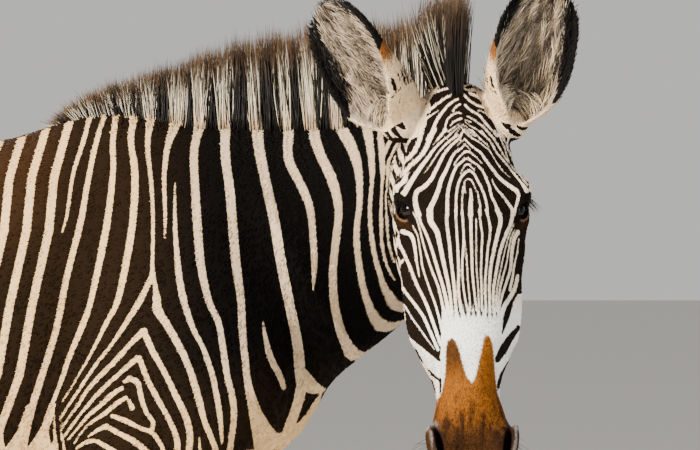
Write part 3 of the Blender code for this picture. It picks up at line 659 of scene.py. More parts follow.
# ------------------------------------------------------------------------------ meshes
def fill_mesh(mesh, points, faces, smooth=True):
    """Fills a mesh from arrays; faces is one array of equal faces."""
    count, corners = faces.shape
    mesh.vertices.add(len(points))
    mesh.vertices.foreach_set("co", np.asarray(points, np.float32).ravel())
    mesh.loops.add(count * corners)
    mesh.loops.foreach_set("vertex_index", np.asarray(faces, np.int32).ravel())
    mesh.polygons.add(count)
    mesh.polygons.foreach_set("loop_start", np.arange(0, count * corners, corners, dtype=np.int32))
    mesh.polygons.foreach_set("use_smooth", np.full(count, smooth))
    mesh.update(calc_edges=True)


def give(mesh, **attributes):
    """Gives a mesh values, colours or places, one for each vertex."""
    for name, values in attributes.items():
        values = np.asarray(values, np.float32)
        if values.ndim == 1:
            kind, field = "FLOAT", "value"
        elif name == "straight":
            kind, field = "FLOAT_VECTOR", "vector"
        else:
            kind, field = "FLOAT_COLOR", "color"
            values = np.hstack([values, np.ones((len(values), 1), np.float32)])
        mesh.attributes.new(name, kind, "POINT").data.foreach_set(field, values.ravel())


def read_points(data, what):
    """An array of the places or normals in a mesh's data."""
    out = np.empty(len(data) * 3, np.float32)
    data.foreach_get(what, out)
    return out.reshape(-1, 3).astype(float)


def link(name, data):
    """A new object in the scene."""
    out = bpy.data.objects.new(name, data)
    bpy.context.scene.collection.objects.link(out)
    return out


def place_mesh(name, mesh):
    """Makes the mesh a piece of the object."""
    out = link(name, mesh)
    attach(out, "root")
    return out


def many(name, shapes, faces, roots_uv, shifts, material, slot="coat", mane=False, **attributes):
    """One piece of many equal closed shapes, from the straight points of each and the faces of one.

    On the OFBake map each is a small patch at its root's place on the chart, with its points shifted as
    given. An attribute has one value for each shape or for each point.
    """
    count, per, _ = shapes.shape
    faces = (np.array(faces)[None] + per * np.arange(count)[:, None, None]).reshape(-1, 3)
    mesh = bpy.data.meshes.new(name)
    flat = shapes.reshape(-1, 3)
    fill_mesh(mesh, pose(flat, mane), faces)
    for key, values in attributes.items():
        give(mesh, **{key: np.repeat(values, per, 0) if len(values) == count else values})
    give(mesh, straight=flat)
    corner = faces.ravel()
    uv = np.clip(roots_uv, 0.0, 0.9965)[corner // per] + np.asarray(shifts)[corner % per]
    mesh.uv_layers.new(name="OFBake").data.foreach_set("uv", uv.astype(np.float32).ravel())
    mesh.materials.append(material)
    return place_mesh(name, mesh)


# ------------------------------------------------------------------------------ markings
BODY_STROKES = (    # white, on both sides: X, Z and half width of each point, in millimetres
    ((-17, 1506, 7.1), (-20, 1494, 4.7), (-28, 1458, 4.6), (-42, 1407, 3.9), (-50, 1340, 3.3),
     (-57, 1312, 2.2)),
    ((6, 1506, 7.1), (4, 1497, 4.7), (-7, 1453, 5), (-18, 1390, 5.3), (-28, 1325, 5.9), (-48, 1239, 5.8),
     (-63, 1159, 6), (-81, 1097, 6.2), (-97, 1048, 6.4), (-110, 1005, 7.7), (-121, 971, 10.8)),
    ((26, 1506, 9.2), (25, 1499, 6.1), (22, 1458, 5.5), (24, 1416, 5.4), (19, 1349, 6.1), (10, 1289, 6.6),
     (-8, 1201, 5.2), (-22, 1159, 5.8), (-42, 1110, 4.9), (-58, 1064, 4.3), (-75, 1021, 3.7),
     (-83, 1004, 2.9)),
    ((56, 1506, 11.1), (55, 1497, 7.4), (52, 1462, 5.8), (60, 1411, 6.6), (60, 1349, 6.6),
     (52, 1279, 6.5), (36, 1201, 5.7), (17, 1162, 4.4), (-6, 1116, 3.2), (-25, 1083, 2.6),
     (-42, 1054, 2.2), (-55, 1034, 2.2)),
    ((84, 1506, 11.1), (83, 1491, 7.4), (80, 1453, 5), (88, 1390, 4.1), (92, 1330, 3.7), (92, 1263, 3.7),
     (90, 1238, 4.7), (73, 1201, 5.8), (53, 1168, 5), (27, 1129, 3.7), (1, 1096, 3.5), (-25, 1057, 3.3),
     (-45, 1027, 2.8), (-59, 1004, 2.2)),
    ((93, 1256, 3.3), (97, 1225, 4.1), (100, 1201, 7.3), (102, 1183, 8.4), (116, 1162, 7),
     (139, 1122, 6.5), (155, 1086, 6.1), (168, 1044, 6.3), (178, 1004, 5.5), (191, 970, 5.3),
     (197, 953, 5.3)),
    ((131, 1506, 12), (122, 1477, 8), (113, 1448, 5.8), (109, 1400, 4.5), (112, 1339, 3.7),
     (112, 1302, 2.2)),
    ((127, 1390, 2.2), (128, 1339, 3.7), (131, 1289, 4.9), (140, 1217, 6.4), (158, 1158, 5.4),
     (175, 1125, 4.8), (190, 1083, 5.3), (198, 1047, 5.4), (204, 1010, 5.2), (207, 970, 3.3),
     (207, 963, 2.2)),
    ((169, 1506, 12.6), (164, 1474, 8.4), (159, 1442, 7.8), (161, 1390, 7.8), (165, 1329, 7.8),
     (172, 1257, 7.3), (186, 1197, 6.3), (201, 1164, 5.9), (209, 1122, 6.1), (216, 1076, 5.8),
     (224, 1043, 6.1), (227, 1009, 5.9), (223, 976, 5.8), (220, 952, 5.6)),
    ((208, 1506, 14.2), (211, 1477, 9.5), (215, 1431, 9), (223, 1380, 9.2), (227, 1313, 9.1),
     (230, 1257, 8.5), (238, 1200, 6.8), (240, 1157, 6.9), (245, 1105, 6.5), (250, 1062, 6.8),
     (258, 1029, 9.5), (266, 994, 12.7), (275, 946, 15)),
    ((256, 1035, 6.1), (266, 1008, 10.1), (285, 975, 10), (306, 949, 13.2)),
    ((258, 1506, 15.3), (265, 1482, 10.2), (277, 1442, 10.1), (293, 1390, 10.3), (309, 1329, 11.6),
     (318, 1256, 12), (325, 1195, 11.6), (332, 1131, 10.5), (335, 1079, 9.8), (340, 1055, 11.3)),
    ((335, 1078, 10), (345, 1060, 14), (358, 1048, 11), (373, 1043, 5)),
    ((338, 1055, 9.6), (330, 1021, 9.5), (318, 987, 9.4), (307, 951, 11)),
    ((274, 1163, 2.2), (279, 1133, 4.8), (287, 1103, 6.1), (302, 1073, 6), (308, 1053, 4.7)),
    ((313, 1506, 14.2), (321, 1479, 9.5), (326, 1462, 9.4), (336, 1426, 9.2), (364, 1390, 9.1),
     (391, 1349, 9.5), (400, 1298, 9.5), (399, 1256, 9), (388, 1215, 2.7)),
    ((353, 1506, 15.3), (366, 1482, 10.2), (374, 1467, 9.5), (404, 1431, 9.3), (443, 1390, 11.3),
     (468, 1349, 12), (467, 1308, 12), (453, 1256, 11.8), (442, 1204, 12), (438, 1157, 12),
     (438, 1116, 12), (437, 1101, 12)),
    ((394, 1506, 12.3), (416, 1482, 8.2), (459, 1453, 9.6), (505, 1412, 10.5), (534, 1361, 10.5),
     (529, 1313, 10.5), (524, 1256, 8.7), (512, 1204, 6.4), (500, 1161, 6.5), (493, 1143, 6.6)),
    ((446, 1506, 10.2), (468, 1483, 6.8), (491, 1468, 7.7), (538, 1427, 8.5), (567, 1391, 8.5),
     (576, 1350, 8.5), (574, 1298, 7.3), (560, 1246, 5.3), (542, 1204, 5.5), (528, 1178, 5)),
    ((493, 1506, 8.6), (515, 1475, 5.7), (575, 1432, 8.5), (622, 1392, 8.5), (625, 1350, 8.5),
     (604, 1304, 5.3), (586, 1267, 3.4), (571, 1231, 2.2)),
    ((612, 1431, 7.5), (660, 1392, 7.5), (648, 1341, 6.2), (626, 1309, 4), (599, 1262, 2.3)),
    ((79, 1150, 6.6), (60, 1132, 4.9), (34, 1103, 4.9), (8, 1077, 4.6), (-16, 1050, 3.7),
     (-27, 1031, 3.4), (-42, 1011, 2.7), (-55, 991, 2.7)),
    ((79, 1150, 6), (93, 1119, 5.9), (113, 1083, 5.2), (132, 1044, 5.9), (149, 1007, 6.2),
     (155, 977, 6.2), (153, 954, 6.2)),
    ((68, 1106, 5.4), (47, 1087, 4.6), (27, 1070, 4.1), (1, 1044, 4), (-22, 1017, 3.1), (-42, 991, 2.9),
     (-56, 971, 2.7)),
    ((72, 1106, 5.3), (86, 1070, 5.2), (103, 1037, 5.1), (119, 1008, 5.1), (132, 978, 5.3),
     (135, 954, 5.5)),
    ((47, 1067, 3.3), (58, 1072, 5.8), (70, 1064, 5.1), (75, 1041, 4.7), (83, 1018, 4.4), (94, 1001, 4.4),
     (93, 988, 3.9)),
    ((44, 1057, 4.1), (27, 1046, 4.6), (7, 1027, 4), (-12, 1011, 4), (-29, 991, 2.8), (-46, 971, 2.5)),
    ((27, 1011, 4.1), (47, 1004, 4.9), (73, 991, 4.1), (93, 983, 4.5), (106, 965, 4.2), (112, 951, 4.4)),
    ((50, 1041, 4.1), (34, 1031, 4.6), (14, 1014, 4), (-6, 1001, 3.3), (-23, 984, 2.3), (-36, 964, 2.2)),
    ((55, 1037, 3.1), (60, 1024, 5.4)),
    ((17, 994, 4.9), (1, 986, 3.3), (-13, 976, 2.2)),
    ((17, 994, 4.9), (40, 981, 4.9), (60, 971, 5.6), (79, 956, 5.8), (92, 941, 5.8)),
    ((-33, 956, 2.5), (-16, 967, 4.1), (0, 969, 4.1), (20, 958, 4.9), (40, 945, 4.9)),
    ((170, 974, 2.4), (171, 954, 3.2), (174, 928, 4)),
    ((370, 1038, 2.5), (359, 1017, 6.6), (345, 992, 9), (322, 971, 11), (294, 957, 14)),
    # The last two: pale lines down the fold at the armpit; the black left between them stands for the fold's
    # shadow, painted.
    ((-58, 1020, 1.4), (-58, 990, 2.4), (-53, 958, 3), (-48, 925, 3.5)),
    ((-68, 1012, 1.6), (-68, 985, 3), (-65, 955, 4), (-60, 925, 4.5)),
)

FACE_STROKES = (    # white: half widths at both ends, then left and drop below the poll, in millimetres
    (3, 1.6, (8, 201), (7, 230), (7, 267), (7, 303), (9, 332), (11, 359)),
    (2.1, 1.6, (-6, 201), (-5, 245), (-7, 267), (-9, 296), (-8, 325), (-4, 358)),
    (1, 1.6, (-4, 248), (-2, 267), (-1, 296), (0, 325), (2, 359)),
    (1.9, 2.5, (-17, 201), (-16, 230), (-15, 259), (-15, 296), (-16, 332), (-13, 361)),
    (3, 2.5, (-30, 201), (-31, 223), (-28, 252), (-26, 281), (-23, 317), (-21, 362)),
    (5.6, 2.2, (-57, 201), (-56, 219), (-47, 235), (-42, 259), (-37, 288), (-31, 322), (-27, 364)),
    (1.9, 3, (-76, 204), (-70, 223), (-61, 245), (-54, 267), (-47, 294), (-39, 325), (-32, 364)),
    (1, 2.2, (-85, 201), (-77, 216), (-71, 239), (-65, 264), (-56, 295), (-46, 326), (-38, 372)),
    (0.9, 2, (-83, 226), (-76, 242), (-72, 267), (-69, 292), (-61, 321), (-51, 354), (-44, 388),
     (-41, 404)),
    (4.4, 1, (-97, 236), (-86, 241), (-81, 254), (-78, 278), (-74, 307)),
    (2.2, 2.6, (-104, 236), (-101, 255), (-95, 270), (-87, 291), (-78, 319), (-68, 342), (-61, 362),
     (-53, 389), (-46, 413)),
    (2.2, 2.4, (-96, 282), (-111, 308), (-97, 325), (-88, 340), (-79, 354), (-70, 369), (-62, 389),
     (-50, 421)),
    (0.9, 1.3, (-114, 302), (-109, 335), (-95, 352), (-85, 372), (-73, 392), (-56, 420)),
    (1.2, 1.5, (16, 215), (15, 245), (14, 288), (15, 325), (15, 354)),
    (1.8, 1.9, (21, 201), (23, 223), (25, 242), (23, 267), (21, 296), (21, 325), (20, 359)),
    (2.1, 2.1, (32, 201), (37, 219), (38, 238), (34, 260), (31, 283), (27, 318), (27, 361)),
    (4.4, 2.4, (51, 201), (56, 217), (51, 238), (44, 263), (38, 289), (34, 322), (33, 363)),
    (3.7, 2.4, (78, 202), (74, 221), (64, 242), (55, 264), (48, 292), (41, 325), (39, 363)),
    (0.9, 1.6, (79, 224), (70, 243), (62, 267), (55, 293), (48, 321), (43, 356)),
    (1, 2.1, (80, 234), (73, 247), (69, 267), (63, 292), (54, 318), (45, 360)),
    (4.4, 1.6, (86, 237), (79, 249), (75, 269), (72, 295), (63, 318), (53, 344), (45, 376)),
    (1, 3, (88, 247), (85, 270), (79, 291), (76, 307), (70, 328)),
    (4.4, 4.4, (86, 308), (79, 327), (68, 342), (58, 355), (50, 376)),
    (2.6, 0.3, (-74, 75), (-80, 91), (-86, 105), (-89, 123), (-92, 138)),
    (3.3, 2.6, (-61, 74), (-67, 92), (-74, 107), (-80, 117), (-91, 129), (-92, 141), (-94, 155),
     (-112, 169), (-106, 183), (-98, 190)),
    (3.5, 2.2, (-43, 74), (-50, 87), (-58, 103), (-66, 115), (-76, 126), (-85, 137), (-94, 150),
     (-101, 161), (-107, 171), (-107, 180)),
    (3, 0.4, (-26, 74), (-35, 84), (-47, 98)),
    (1.1, 4.8, (-17, 79), (-34, 93), (-47, 106), (-56, 118), (-67, 132), (-78, 147), (-87, 160),
     (-97, 176)),
    (2.2, 0.4, (-8, 82), (-25, 95), (-38, 108), (-48, 122), (-57, 135), (-64, 143)),
    (1.7, 4.8, (1, 77), (-6, 88), (-21, 101), (-33, 116), (-43, 134), (-53, 152), (-64, 164), (-75, 171),
     (-79, 182), (-78, 195), (-74, 209)),
    (1.3, 0.7, (3, 89), (-4, 94), (-10, 100)),
    (1.5, 4.8, (3, 98), (-4, 104), (-15, 112), (-23, 125), (-29, 138), (-37, 152), (-42, 167), (-48, 182),
     (-55, 196), (-58, 209)),
    (2, 1, (10, 109), (3, 109), (-4, 114), (-12, 123), (-17, 131)),
    (1.6, 3.3, (9, 120), (3, 120), (-5, 126), (-14, 135), (-21, 150), (-26, 165), (-29, 182), (-30, 209)),
    (1.6, 0.9, (9, 129), (3, 129), (-2, 135), (-7, 143)),
    (2.2, 2.2, (8, 138), (1, 142), (-7, 151), (-12, 164), (-15, 182), (-16, 209)),
    (1.3, 1.7, (-3, 164), (-5, 177), (-7, 209)),
    (1.7, 4.8, (8, 168), (9, 179), (8, 190), (7, 209)),
    (1.3, 1.1, (0, 174), (-1, 164), (0, 155), (7, 152), (12, 157), (15, 164), (17, 169)),
    (1.1, 1.9, (19, 171), (21, 182), (23, 195), (23, 209)),
    (2, 2.2, (0, 142), (8, 139), (15, 144), (20, 154), (26, 166), (31, 180), (34, 195), (35, 209)),
    (1.6, 0.8, (0, 131), (6, 129), (11, 133), (16, 138)),
    (1.5, 2.6, (0, 122), (6, 120), (14, 125), (23, 132), (30, 141), (34, 151), (39, 164), (42, 179),
     (47, 190), (55, 209)),
    (2, 0.7, (1, 110), (4, 108), (10, 110), (17, 115), (24, 122), (30, 129)),
    (1.5, 0.7, (2, 97), (6, 100), (10, 105)),
    (1.3, 3.9, (3, 88), (8, 94), (16, 102), (27, 110), (35, 122), (45, 136), (54, 148), (64, 157),
     (75, 165), (84, 171)),
    (3.9, 1.7, (84, 171), (87, 178), (85, 188), (82, 199), (80, 210)),
    (0.9, 3.5, (44, 152), (46, 159), (51, 168), (60, 178), (69, 190), (75, 199), (77, 209)),
    (1.3, 0.7, (3, 75), (7, 81), (15, 87), (25, 93), (34, 100), (43, 108), (48, 117), (55, 129),
     (62, 139), (69, 146), (75, 150)),
    (0.9, 0.5, (9, 74), (15, 80), (21, 85)),
    (1.7, 0.6, (16, 75), (26, 86), (35, 94), (43, 102)),
    (1.7, 1.7, (32, 76), (37, 84), (46, 94), (51, 105), (59, 117), (69, 128), (77, 138), (85, 149),
     (92, 158)),
    (1.7, 4.8, (91, 157), (97, 165), (101, 171)),
    (2, 1.3, (39, 74), (46, 82), (54, 93), (62, 107), (68, 118), (73, 125)),
    (1.6, 1.6, (54, 75), (62, 84), (67, 96), (71, 109), (74, 122), (81, 132), (89, 142), (96, 154),
     (103, 162)),
    (1.3, 0.9, (64, 75), (70, 85), (73, 97), (78, 109), (84, 119), (89, 130), (85, 143)),
    (1.6, 3, (76, 75), (79, 86), (76, 104), (84, 117), (89, 131), (95, 141), (101, 152), (108, 158),
     (108, 176)),
    (2.4, 2, (-60, -6), (-55, -9), (-42, -12), (-33, -16), (-26, -24), (-23, -31)),
    (2.4, 1.4, (-59, 18), (-51, 8), (-40, 1), (-29, -3), (-23, -11), (-20, -18)),
    (1.6, 1.1, (-52, 16), (-43, 9), (-21, -1), (-24, 1), (-20, -4)),
    (2.4, 1.5, (-48, 21), (-37, 15), (-27, 11), (-17, 8), (-11, 2), (-6, -5)),
    (2, 1.6, (-56, 49), (-46, 41), (-34, 32), (-23, 24), (-11, 18), (-5, 11), (-2, 2)),
    (2, 0.4, (-56, 58), (-45, 50), (-34, 43)),
    (2.9, 1.8, (-55, 90), (-47, 77), (-40, 62), (-31, 49), (-21, 37), (-11, 29), (-3, 25)),
    (2, 1.2, (-40, 90), (-31, 80), (-26, 69), (-22, 58), (-14, 51), (-6, 47), (1, 48)),
    (2, 1.8, (-12, 44), (-7, 38), (0, 33)),
    (1.2, 2, (-18, 67), (-10, 60), (0, 56)),
    (1.5, 0.5, (-22, 77), (-14, 71), (-2, 63)),
    (1.4, 0.5, (-25, 87), (-12, 75), (1, 65)),
    (1.2, 0.5, (-18, 90), (-8, 78), (2, 66)),
    (1.5, 0.5, (-5, 90), (0, 78), (3, 67)),
    (1.2, 1, (5, -12), (18, -9), (28, -2)),
    (1.6, 1.2, (5, -5), (8, 4), (24, 2), (34, 7)),
    (2, 2.4, (8, -1), (8, 7), (18, 11), (29, 11), (42, 16), (43, 20)),
    (2.9, 1.6, (18, 16), (27, 20), (36, 25), (45, 31), (55, 35), (63, 44), (61, 60), (67, 68)),
    (2.4, 1.6, (9, 19), (13, 25), (22, 32), (30, 36), (43, 40), (51, 45), (60, 55), (66, 66), (74, 79)),
    (0.8, 1.9, (28, 43), (40, 47), (49, 54), (56, 65), (62, 78), (70, 91)),
    (2.4, 1.9, (8, 35), (15, 42), (23, 47), (32, 53), (39, 63), (48, 73), (58, 85)),
    (1.2, 2, (10, 53), (17, 56), (24, 61), (36, 70), (44, 80), (53, 90)),
    (0.5, 1.2, (5, 58), (11, 60), (16, 62)),
    (0.5, 1.6, (6, 62), (14, 68), (26, 75), (37, 85)),
    (0.5, 1.4, (5, 67), (12, 73), (22, 81), (29, 90)),
    (0.5, 1.4, (4, 71), (9, 78), (15, 88)),
)

CHEEK_BARS = (    # black, on the nose's sides: left, drop and half width
    ((72, 338, 3), (60, 366, 5.4), (49, 396, 1.2)),
    ((82, 390, 5), (66, 403, 6.5), (52, 420, 7.8), (40, 436, 5.5)),
    ((76, 436, 5), (62, 450, 6.5), (49, 466, 6.5), (38, 484, 2.5)),
    ((-99, 386, 9), (-76, 409, 7), (-52, 437, 2.4)),
    ((-78, 443, 1.6), (-62, 459, 2.2), (-51, 470, 1.6)),
    ((-50.5, 466, 1.6), (-49.5, 498, 1.6)),
)

TAN = (    # drop, and the inner and outer edges of a tan patch
    ((401, -33, -34), (406, -28, -39), (411, -26, -41), (421, -22.5, -42.5), (434, -19.5, -43),
     (449, -16, -43.5), (464, -11, -45), (470, -5, -46), (490, 1, -50), (505, 2, -56), (520, 2, -65),
     (549, 2, -78), (600, 2, -140)),
    ((396, 22, 23), (401, 17, 28), (412, 14.5, 32), (434, 8.5, 34), (452, 4, 35), (464, 0, 36),
     (470, -5, 37), (488, -5, 39), (498, -3, 42), (511, 0, 48), (530, 0, 56), (542, 0, 62), (560, 0, 78),
     (600, 0, 140)),
)
TAN_PAINTED_SHADE = (0.075, 0.030, 0.007)        # painted shade over the right patch's upper end
FACE_THINNER = 0.85
MUZZLE_SIDE = 0.004     # how far left of the head's middle the muzzle's markings lie
FRONT_STRIPES = (       # X and Z along the frontmost upright stripe, which the barrel's follow
    (-0.14, 0.82), (-0.095, 0.982), (-0.061, 1.079), (-0.040, 1.195), (-0.014, 1.314), (-0.008, 1.40),
    (0.012, 1.487),
)
RING_TOP = 0.955        # the forelegs' rings start under the strokes of the shoulder
BARREL_PERIOD, BARREL_PLACE, BARREL_WHITE = 0.0365, -0.067, 0.185
TAIL_BASE = (-1.150, 1.350)
HIND_PERIOD = (         # height, period of the rings
    (0.05, 0.017), (0.25, 0.019), (0.45, 0.023), (0.60, 0.028), (0.80, 0.036), (1.00, 0.0365), (1.40, 0.0365),
)
FORE_PERIOD = (
    (0.05, 0.017), (0.25, 0.019), (0.45, 0.023), (0.80, 0.028), (0.95, 0.032), (1.10, 0.042), (1.40, 0.042),
)
FORE_START = 1.152      # middle of a white ring, from which the rings are counted
CHEEK_PERIOD = ((0.0, 0.026), (0.25, 0.028), (0.34, 0.040), (0.6, 0.040))
CHEEK_START = 0.345     # middle of a white bar, measured down and forward
NECK_PERIOD, NECK_PLACE = 0.042, 0.665  # the upright bands next to the head
FORKS = (       # X, Z, sign, side: where a stripe of the barrel splits
    (-0.42, 1.08, 1, 1), (-0.30, 1.27, -1, 1), (-0.66, 1.22, 1, 1), (-0.80, 1.05, -1, 1),
    (-0.36, 1.20, 1, -1), (-0.55, 1.02, -1, -1), (-0.74, 1.30, 1, -1), (-0.88, 1.10, -1, -1),
)
WHITE, BLACK = 0.01, -0.03      # marks well inside a white or a black field
FAR = 0.05                      # and a distance past any edge
COLOURS = {     # light, dark
    "trunk": ((0.78, 0.53, 0.27), (0.0130, 0.0072, 0.0032)),
    "neck": ((0.56, 0.44, 0.31), (0.0016, 0.0013, 0.0013)),
    "face": ((0.95, 0.79, 0.62), (0.0085, 0.0050, 0.0030)),
    "leg": ((0.72, 0.56, 0.39), (0.0090, 0.0050, 0.0026)),
    "ear": ((0.70, 0.55, 0.38), (0.006, 0.0055, 0.0055)),
}
# The first: a painted golden sheen in the dark stripes of the back, growing toward its top.
BACK_SHEEN_GOLD, NOSE_WHITE, ORANGE = (0.050, 0.022, 0.008), (0.95, 0.95, 0.92), (0.225, 0.076, 0.010)
MUZZLE_DARK, MUZZLE_SKIN = (0.030, 0.014, 0.005), (0.060, 0.050, 0.050)
LID_RIM, LID_LOWER, LID_ROUND = (0.006, 0.004, 0.003), (0.17, 0.085, 0.040), (0.004, 0.003, 0.0025)
UNDER_EYE = (0.019, 0.009, 0.0035)
# The nostrils' rims, and their openings painted near black: dark lining with painted shade of their depth.
NOSTRIL_RIM, NOSTRIL_HOLE_SHADE = (0.21, 0.185, 0.175), (0.020, 0.013, 0.011)
EAR_FOOT = (0.80, 0.64, 0.45)
EAR_INSIDE = ((0.50, 0.42, 0.34), (0.24, 0.19, 0.155))  # at the rims, in the middle
EAR_BACK = ((0.78, 0.58, 0.36), (0.20, 0.075, 0.018))   # at the root, higher up


def ramp(x, low, high):
    """Smooth step from 0 at low to 1 at high."""
    t = np.clip((np.asarray(x, float) - low) / (high - low), 0, 1)
    return t * t * (3 - 2 * t)


def mix(a, b, share):
    """Colours or ways from a to b, by each point's share."""
    share = np.asarray(share)[:, None]
    return np.asarray(a) * (1 - share) + np.asarray(b) * share


def stroke_marks(points, strokes):
    """How far inside the nearest stroke each point lies, in metres."""
    best = np.full(len(points), -FAR)
    for knots in strokes:
        line, half = np.split(curve(np.array(knots) / 1000, 5), [2], axis=1)
        half = half[:, 0]
        reach = half.max() + 0.03
        near = (points > line.min(0) - reach) & (points < line.max(0) + reach)
        near = near.all(axis=1).nonzero()[0]
        at, inside = points[near], np.full(len(near), -1.0)
        for a, b, wide, wide_end in zip(line, line[1:], half, half[1:]):
            along = b - a
            t = np.clip((at - a) @ along / (along @ along), 0, 1)
            off = np.linalg.norm(at - a - t[:, None] * along, axis=1)
            np.maximum(inside, wide + (wide_end - wide) * t - off, out=inside)
        best[near] = np.maximum(best[near], inside)
    return best


def tapered(rows, thinner):
    """Strokes with a half width for each point, from rows that give those of the ends."""
    out = []
    for start, end, *knots in rows:
        half = np.linspace(start, end, len(knots)) * thinner
        out.append([(*knot, wide) for knot, wide in zip(knots, half)])
    return out


def summed(table, start):
    """Heights and the stripes counted up to each, for a table of height and period."""
    heights = np.linspace(table[0][0], table[-1][0], 400)
    period = np.interp(heights, *zip(*table))
    count = np.concatenate([[0], np.cumsum((1 / period)[1:] * np.diff(heights))])
    return heights, count - np.interp(start, heights, count)


def bands(phase, period, white):
    """Signed distance into white bands, one for each whole number of the phase."""
    return (white - np.abs(phase - np.round(phase))) * period


def waver(p, size=1.0):
    """A slow unevenness, so that formula stripes look grown."""
    x, y, z = p.T
    slow, quick = np.sin(23 * x + 17 * z + 5 * y), np.sin(41 * z - 13 * x + 9 * y + 1.3)
    return size * (slow + 0.7 * quick + 0.5 * np.sin(67 * x + 31 * z + 2.1))


def barrel_mark(p, n):
    """Upright stripes of the barrel, which turn round the tail's base into the rings of the hindleg."""
    x, y, z = p.T
    front_x, front_z = zip(*FRONT_STRIPES)
    across = x - np.interp(z, front_z, front_x) * ramp(x, -0.75, -0.15)
    heights, count = summed(HIND_PERIOD, TAIL_BASE[1])
    down = -np.interp(z, heights, count) * BARREL_PERIOD
    ahead = across - TAIL_BASE[0]
    reach = (np.abs(np.maximum(ahead, 0)) ** 4 + np.abs(down) ** 4) ** 0.25
    phase = (reach + TAIL_BASE[0] - BARREL_PLACE) / BARREL_PERIOD
    side = np.where(y > 0, 1, -1)
    for fork_x, fork_z, sign, fork_side in FORKS:
        turn = np.arctan2(z - fork_z, x - fork_x) / (2 * math.pi) * sign
        phase = phase + np.where(side == fork_side, turn, 0)
    phase = phase + waver(p, 0.035) * ramp(-x, 0.15, 0.4)
    period = np.where(ahead > down, BARREL_PERIOD, np.interp(z, *zip(*HIND_PERIOD)))

    # The white spreads over the belly, the underside and the legs' inner sides.
    under = ramp(-n[:, 2], 0.35, 0.80) * ramp(z, 0.70, 0.80)
    belly = np.interp(x, (-1.0, -0.72, -0.50, -0.30, -0.16, -0.02), (0.80, 0.88, 0.905, 0.93, 0.955, 0.965))
    low = ramp(belly + 0.035 - z, 0.0, 0.05) * ramp(z, 0.76, 0.80) * ramp(x, -0.80, -0.70)
    inner = ramp(-n[:, 1] * side, 0.2, 0.8) * ramp(z, 0.45, 0.75) * ramp(1.05 - z, 0.0, 0.1)
    bare = np.maximum(np.maximum(under, low), inner)
    mark = bands(phase, period, BARREL_WHITE + 0.055 * ramp(-x, 0.15, 0.5) + 0.40 * bare)

    # Nothing in front of the frontmost stripe, which the shoulder's strokes take over.
    past = np.where(z > 1.03, across - 0.45 * BARREL_PERIOD, x - 0.05)
    mark = np.where(past > BARREL_PLACE, BLACK, mark)
    return np.where((x > BARREL_PLACE) & (phase > 0.5), BLACK, mark)


def foreleg_mark(p, n):
    """Rings of the foreleg, pointed at the shoulder."""
    x, y, z = p.T
    slope = np.interp(z, (0.70, 0.90, 1.10), (0.05, 0.45, 1.15))
    q = z + slope * np.abs(x - np.interp(z, (0.9, 1.15), (0.060, 0.079)))
    heights, count = summed(FORE_PERIOD, FORE_START)
    phase = np.interp(q, heights, count) + waver(p, 0.03)
    period = np.interp(q, *zip(*FORE_PERIOD))
    side = np.where(y > 0, 1, -1)
    inner = ramp(-n[:, 1] * side, 0.1, 0.7) * ramp(z, 0.45, 0.80)
    mark = bands(phase, period, 0.17 + 0.07 * ramp(-z, -0.95, -0.75) + 0.35 * inner)
    inside = np.where(z > 0.90, (RING_TOP - z) * 0.8, FAR)
    return np.minimum(mark, inside - 0.004)


def cheek_mark(h, f):
    """Bars of the cheek and jaw, down and forward."""
    s = 0.83 * h - 0.55 * f
    heights, count = summed(CHEEK_PERIOD, CHEEK_START)
    return bands(np.interp(s, heights, count), np.interp(s, *zip(*CHEEK_PERIOD)), 0.26)


def body_mark(p, n):
    """Stripes of trunk, neck, legs and tail, with the dark lines of back and belly."""
    x, y, z = p.T
    mark = stroke_marks(np.stack([x, z], -1), BODY_STROKES) - 0.0009
    mark = np.maximum(mark, barrel_mark(p, n))
    mark = np.where((x < 0.42) & (x > -0.35), np.maximum(mark, foreleg_mark(p, n)), mark)
    near_head = bands((x + 0.2 * (z - 1.4) - NECK_PLACE) / NECK_PERIOD, NECK_PERIOD, 0.22)
    mark = np.where(x > np.interp(z, (1.38, 1.46), (0.675, 0.545)), np.maximum(mark, near_head), mark)

    # The dark line of the back, with a pale border on the rump, and the dark line of the belly.
    half = np.interp(x, (-1.15, -0.90, -0.30, -0.06, -0.02), (0.024, 0.024, 0.015, 0.011, 0.0))
    top = (n[:, 2] > 0.2) & (z > 1.25) & (x < -0.02)
    border = np.minimum(np.abs(y) - half, half + 0.016 * ramp(-x, 0.7, 0.9) - np.abs(y))
    border = np.where(x < -0.75, border, -FAR)
    mark = np.where(top, np.maximum(np.minimum(mark, np.abs(y) - half), border), mark)
    low = (n[:, 2] < -0.5) & (z > 0.75) & (np.abs(y) < 0.06) & (x < 0.1)
    mark = np.where(low, np.minimum(mark, np.abs(y) - 0.012), mark)

    # Bars across the tail, broken by a dark line down its middle.
    tail = (x < -1.175) & (np.abs(y) < 0.045) & (z < 1.36) & (z > 0.9) | (x < -1.215) & (z > 0.9)
    dock = bands((z - 0.9) / 0.030 + waver(p, 0.05), 0.030, 0.27)
    return np.where(tail, np.where(np.abs(y) < 0.009, np.minimum(dock, -0.002), dock), mark)


def body_colours(p):
    """Light and dark of trunk, neck and legs, with a painted golden sheen in the dark stripes, stronger
    toward the top of the back.
    """
    x, _, z = p.T
    light, dark = (np.tile(np.array(c, float), (len(p), 1)) for c in COLOURS["trunk"])
    neck = ramp(x, 0.02, 0.22) * ramp(z, 0.95, 1.15)
    legs = ramp(-z, -0.95, -0.75)
    for share, name in ((neck, "neck"), (legs, "leg")):
        light, dark = mix(light, COLOURS[name][0], share), mix(dark, COLOURS[name][1], share)
    # The dark stripes take a painted golden sheen toward the top of the back.
    return light, mix(dark, BACK_SHEEN_GOLD, 0.55 * ramp(z, 1.20, 1.46) * ramp(-x, 0.02, 0.14))


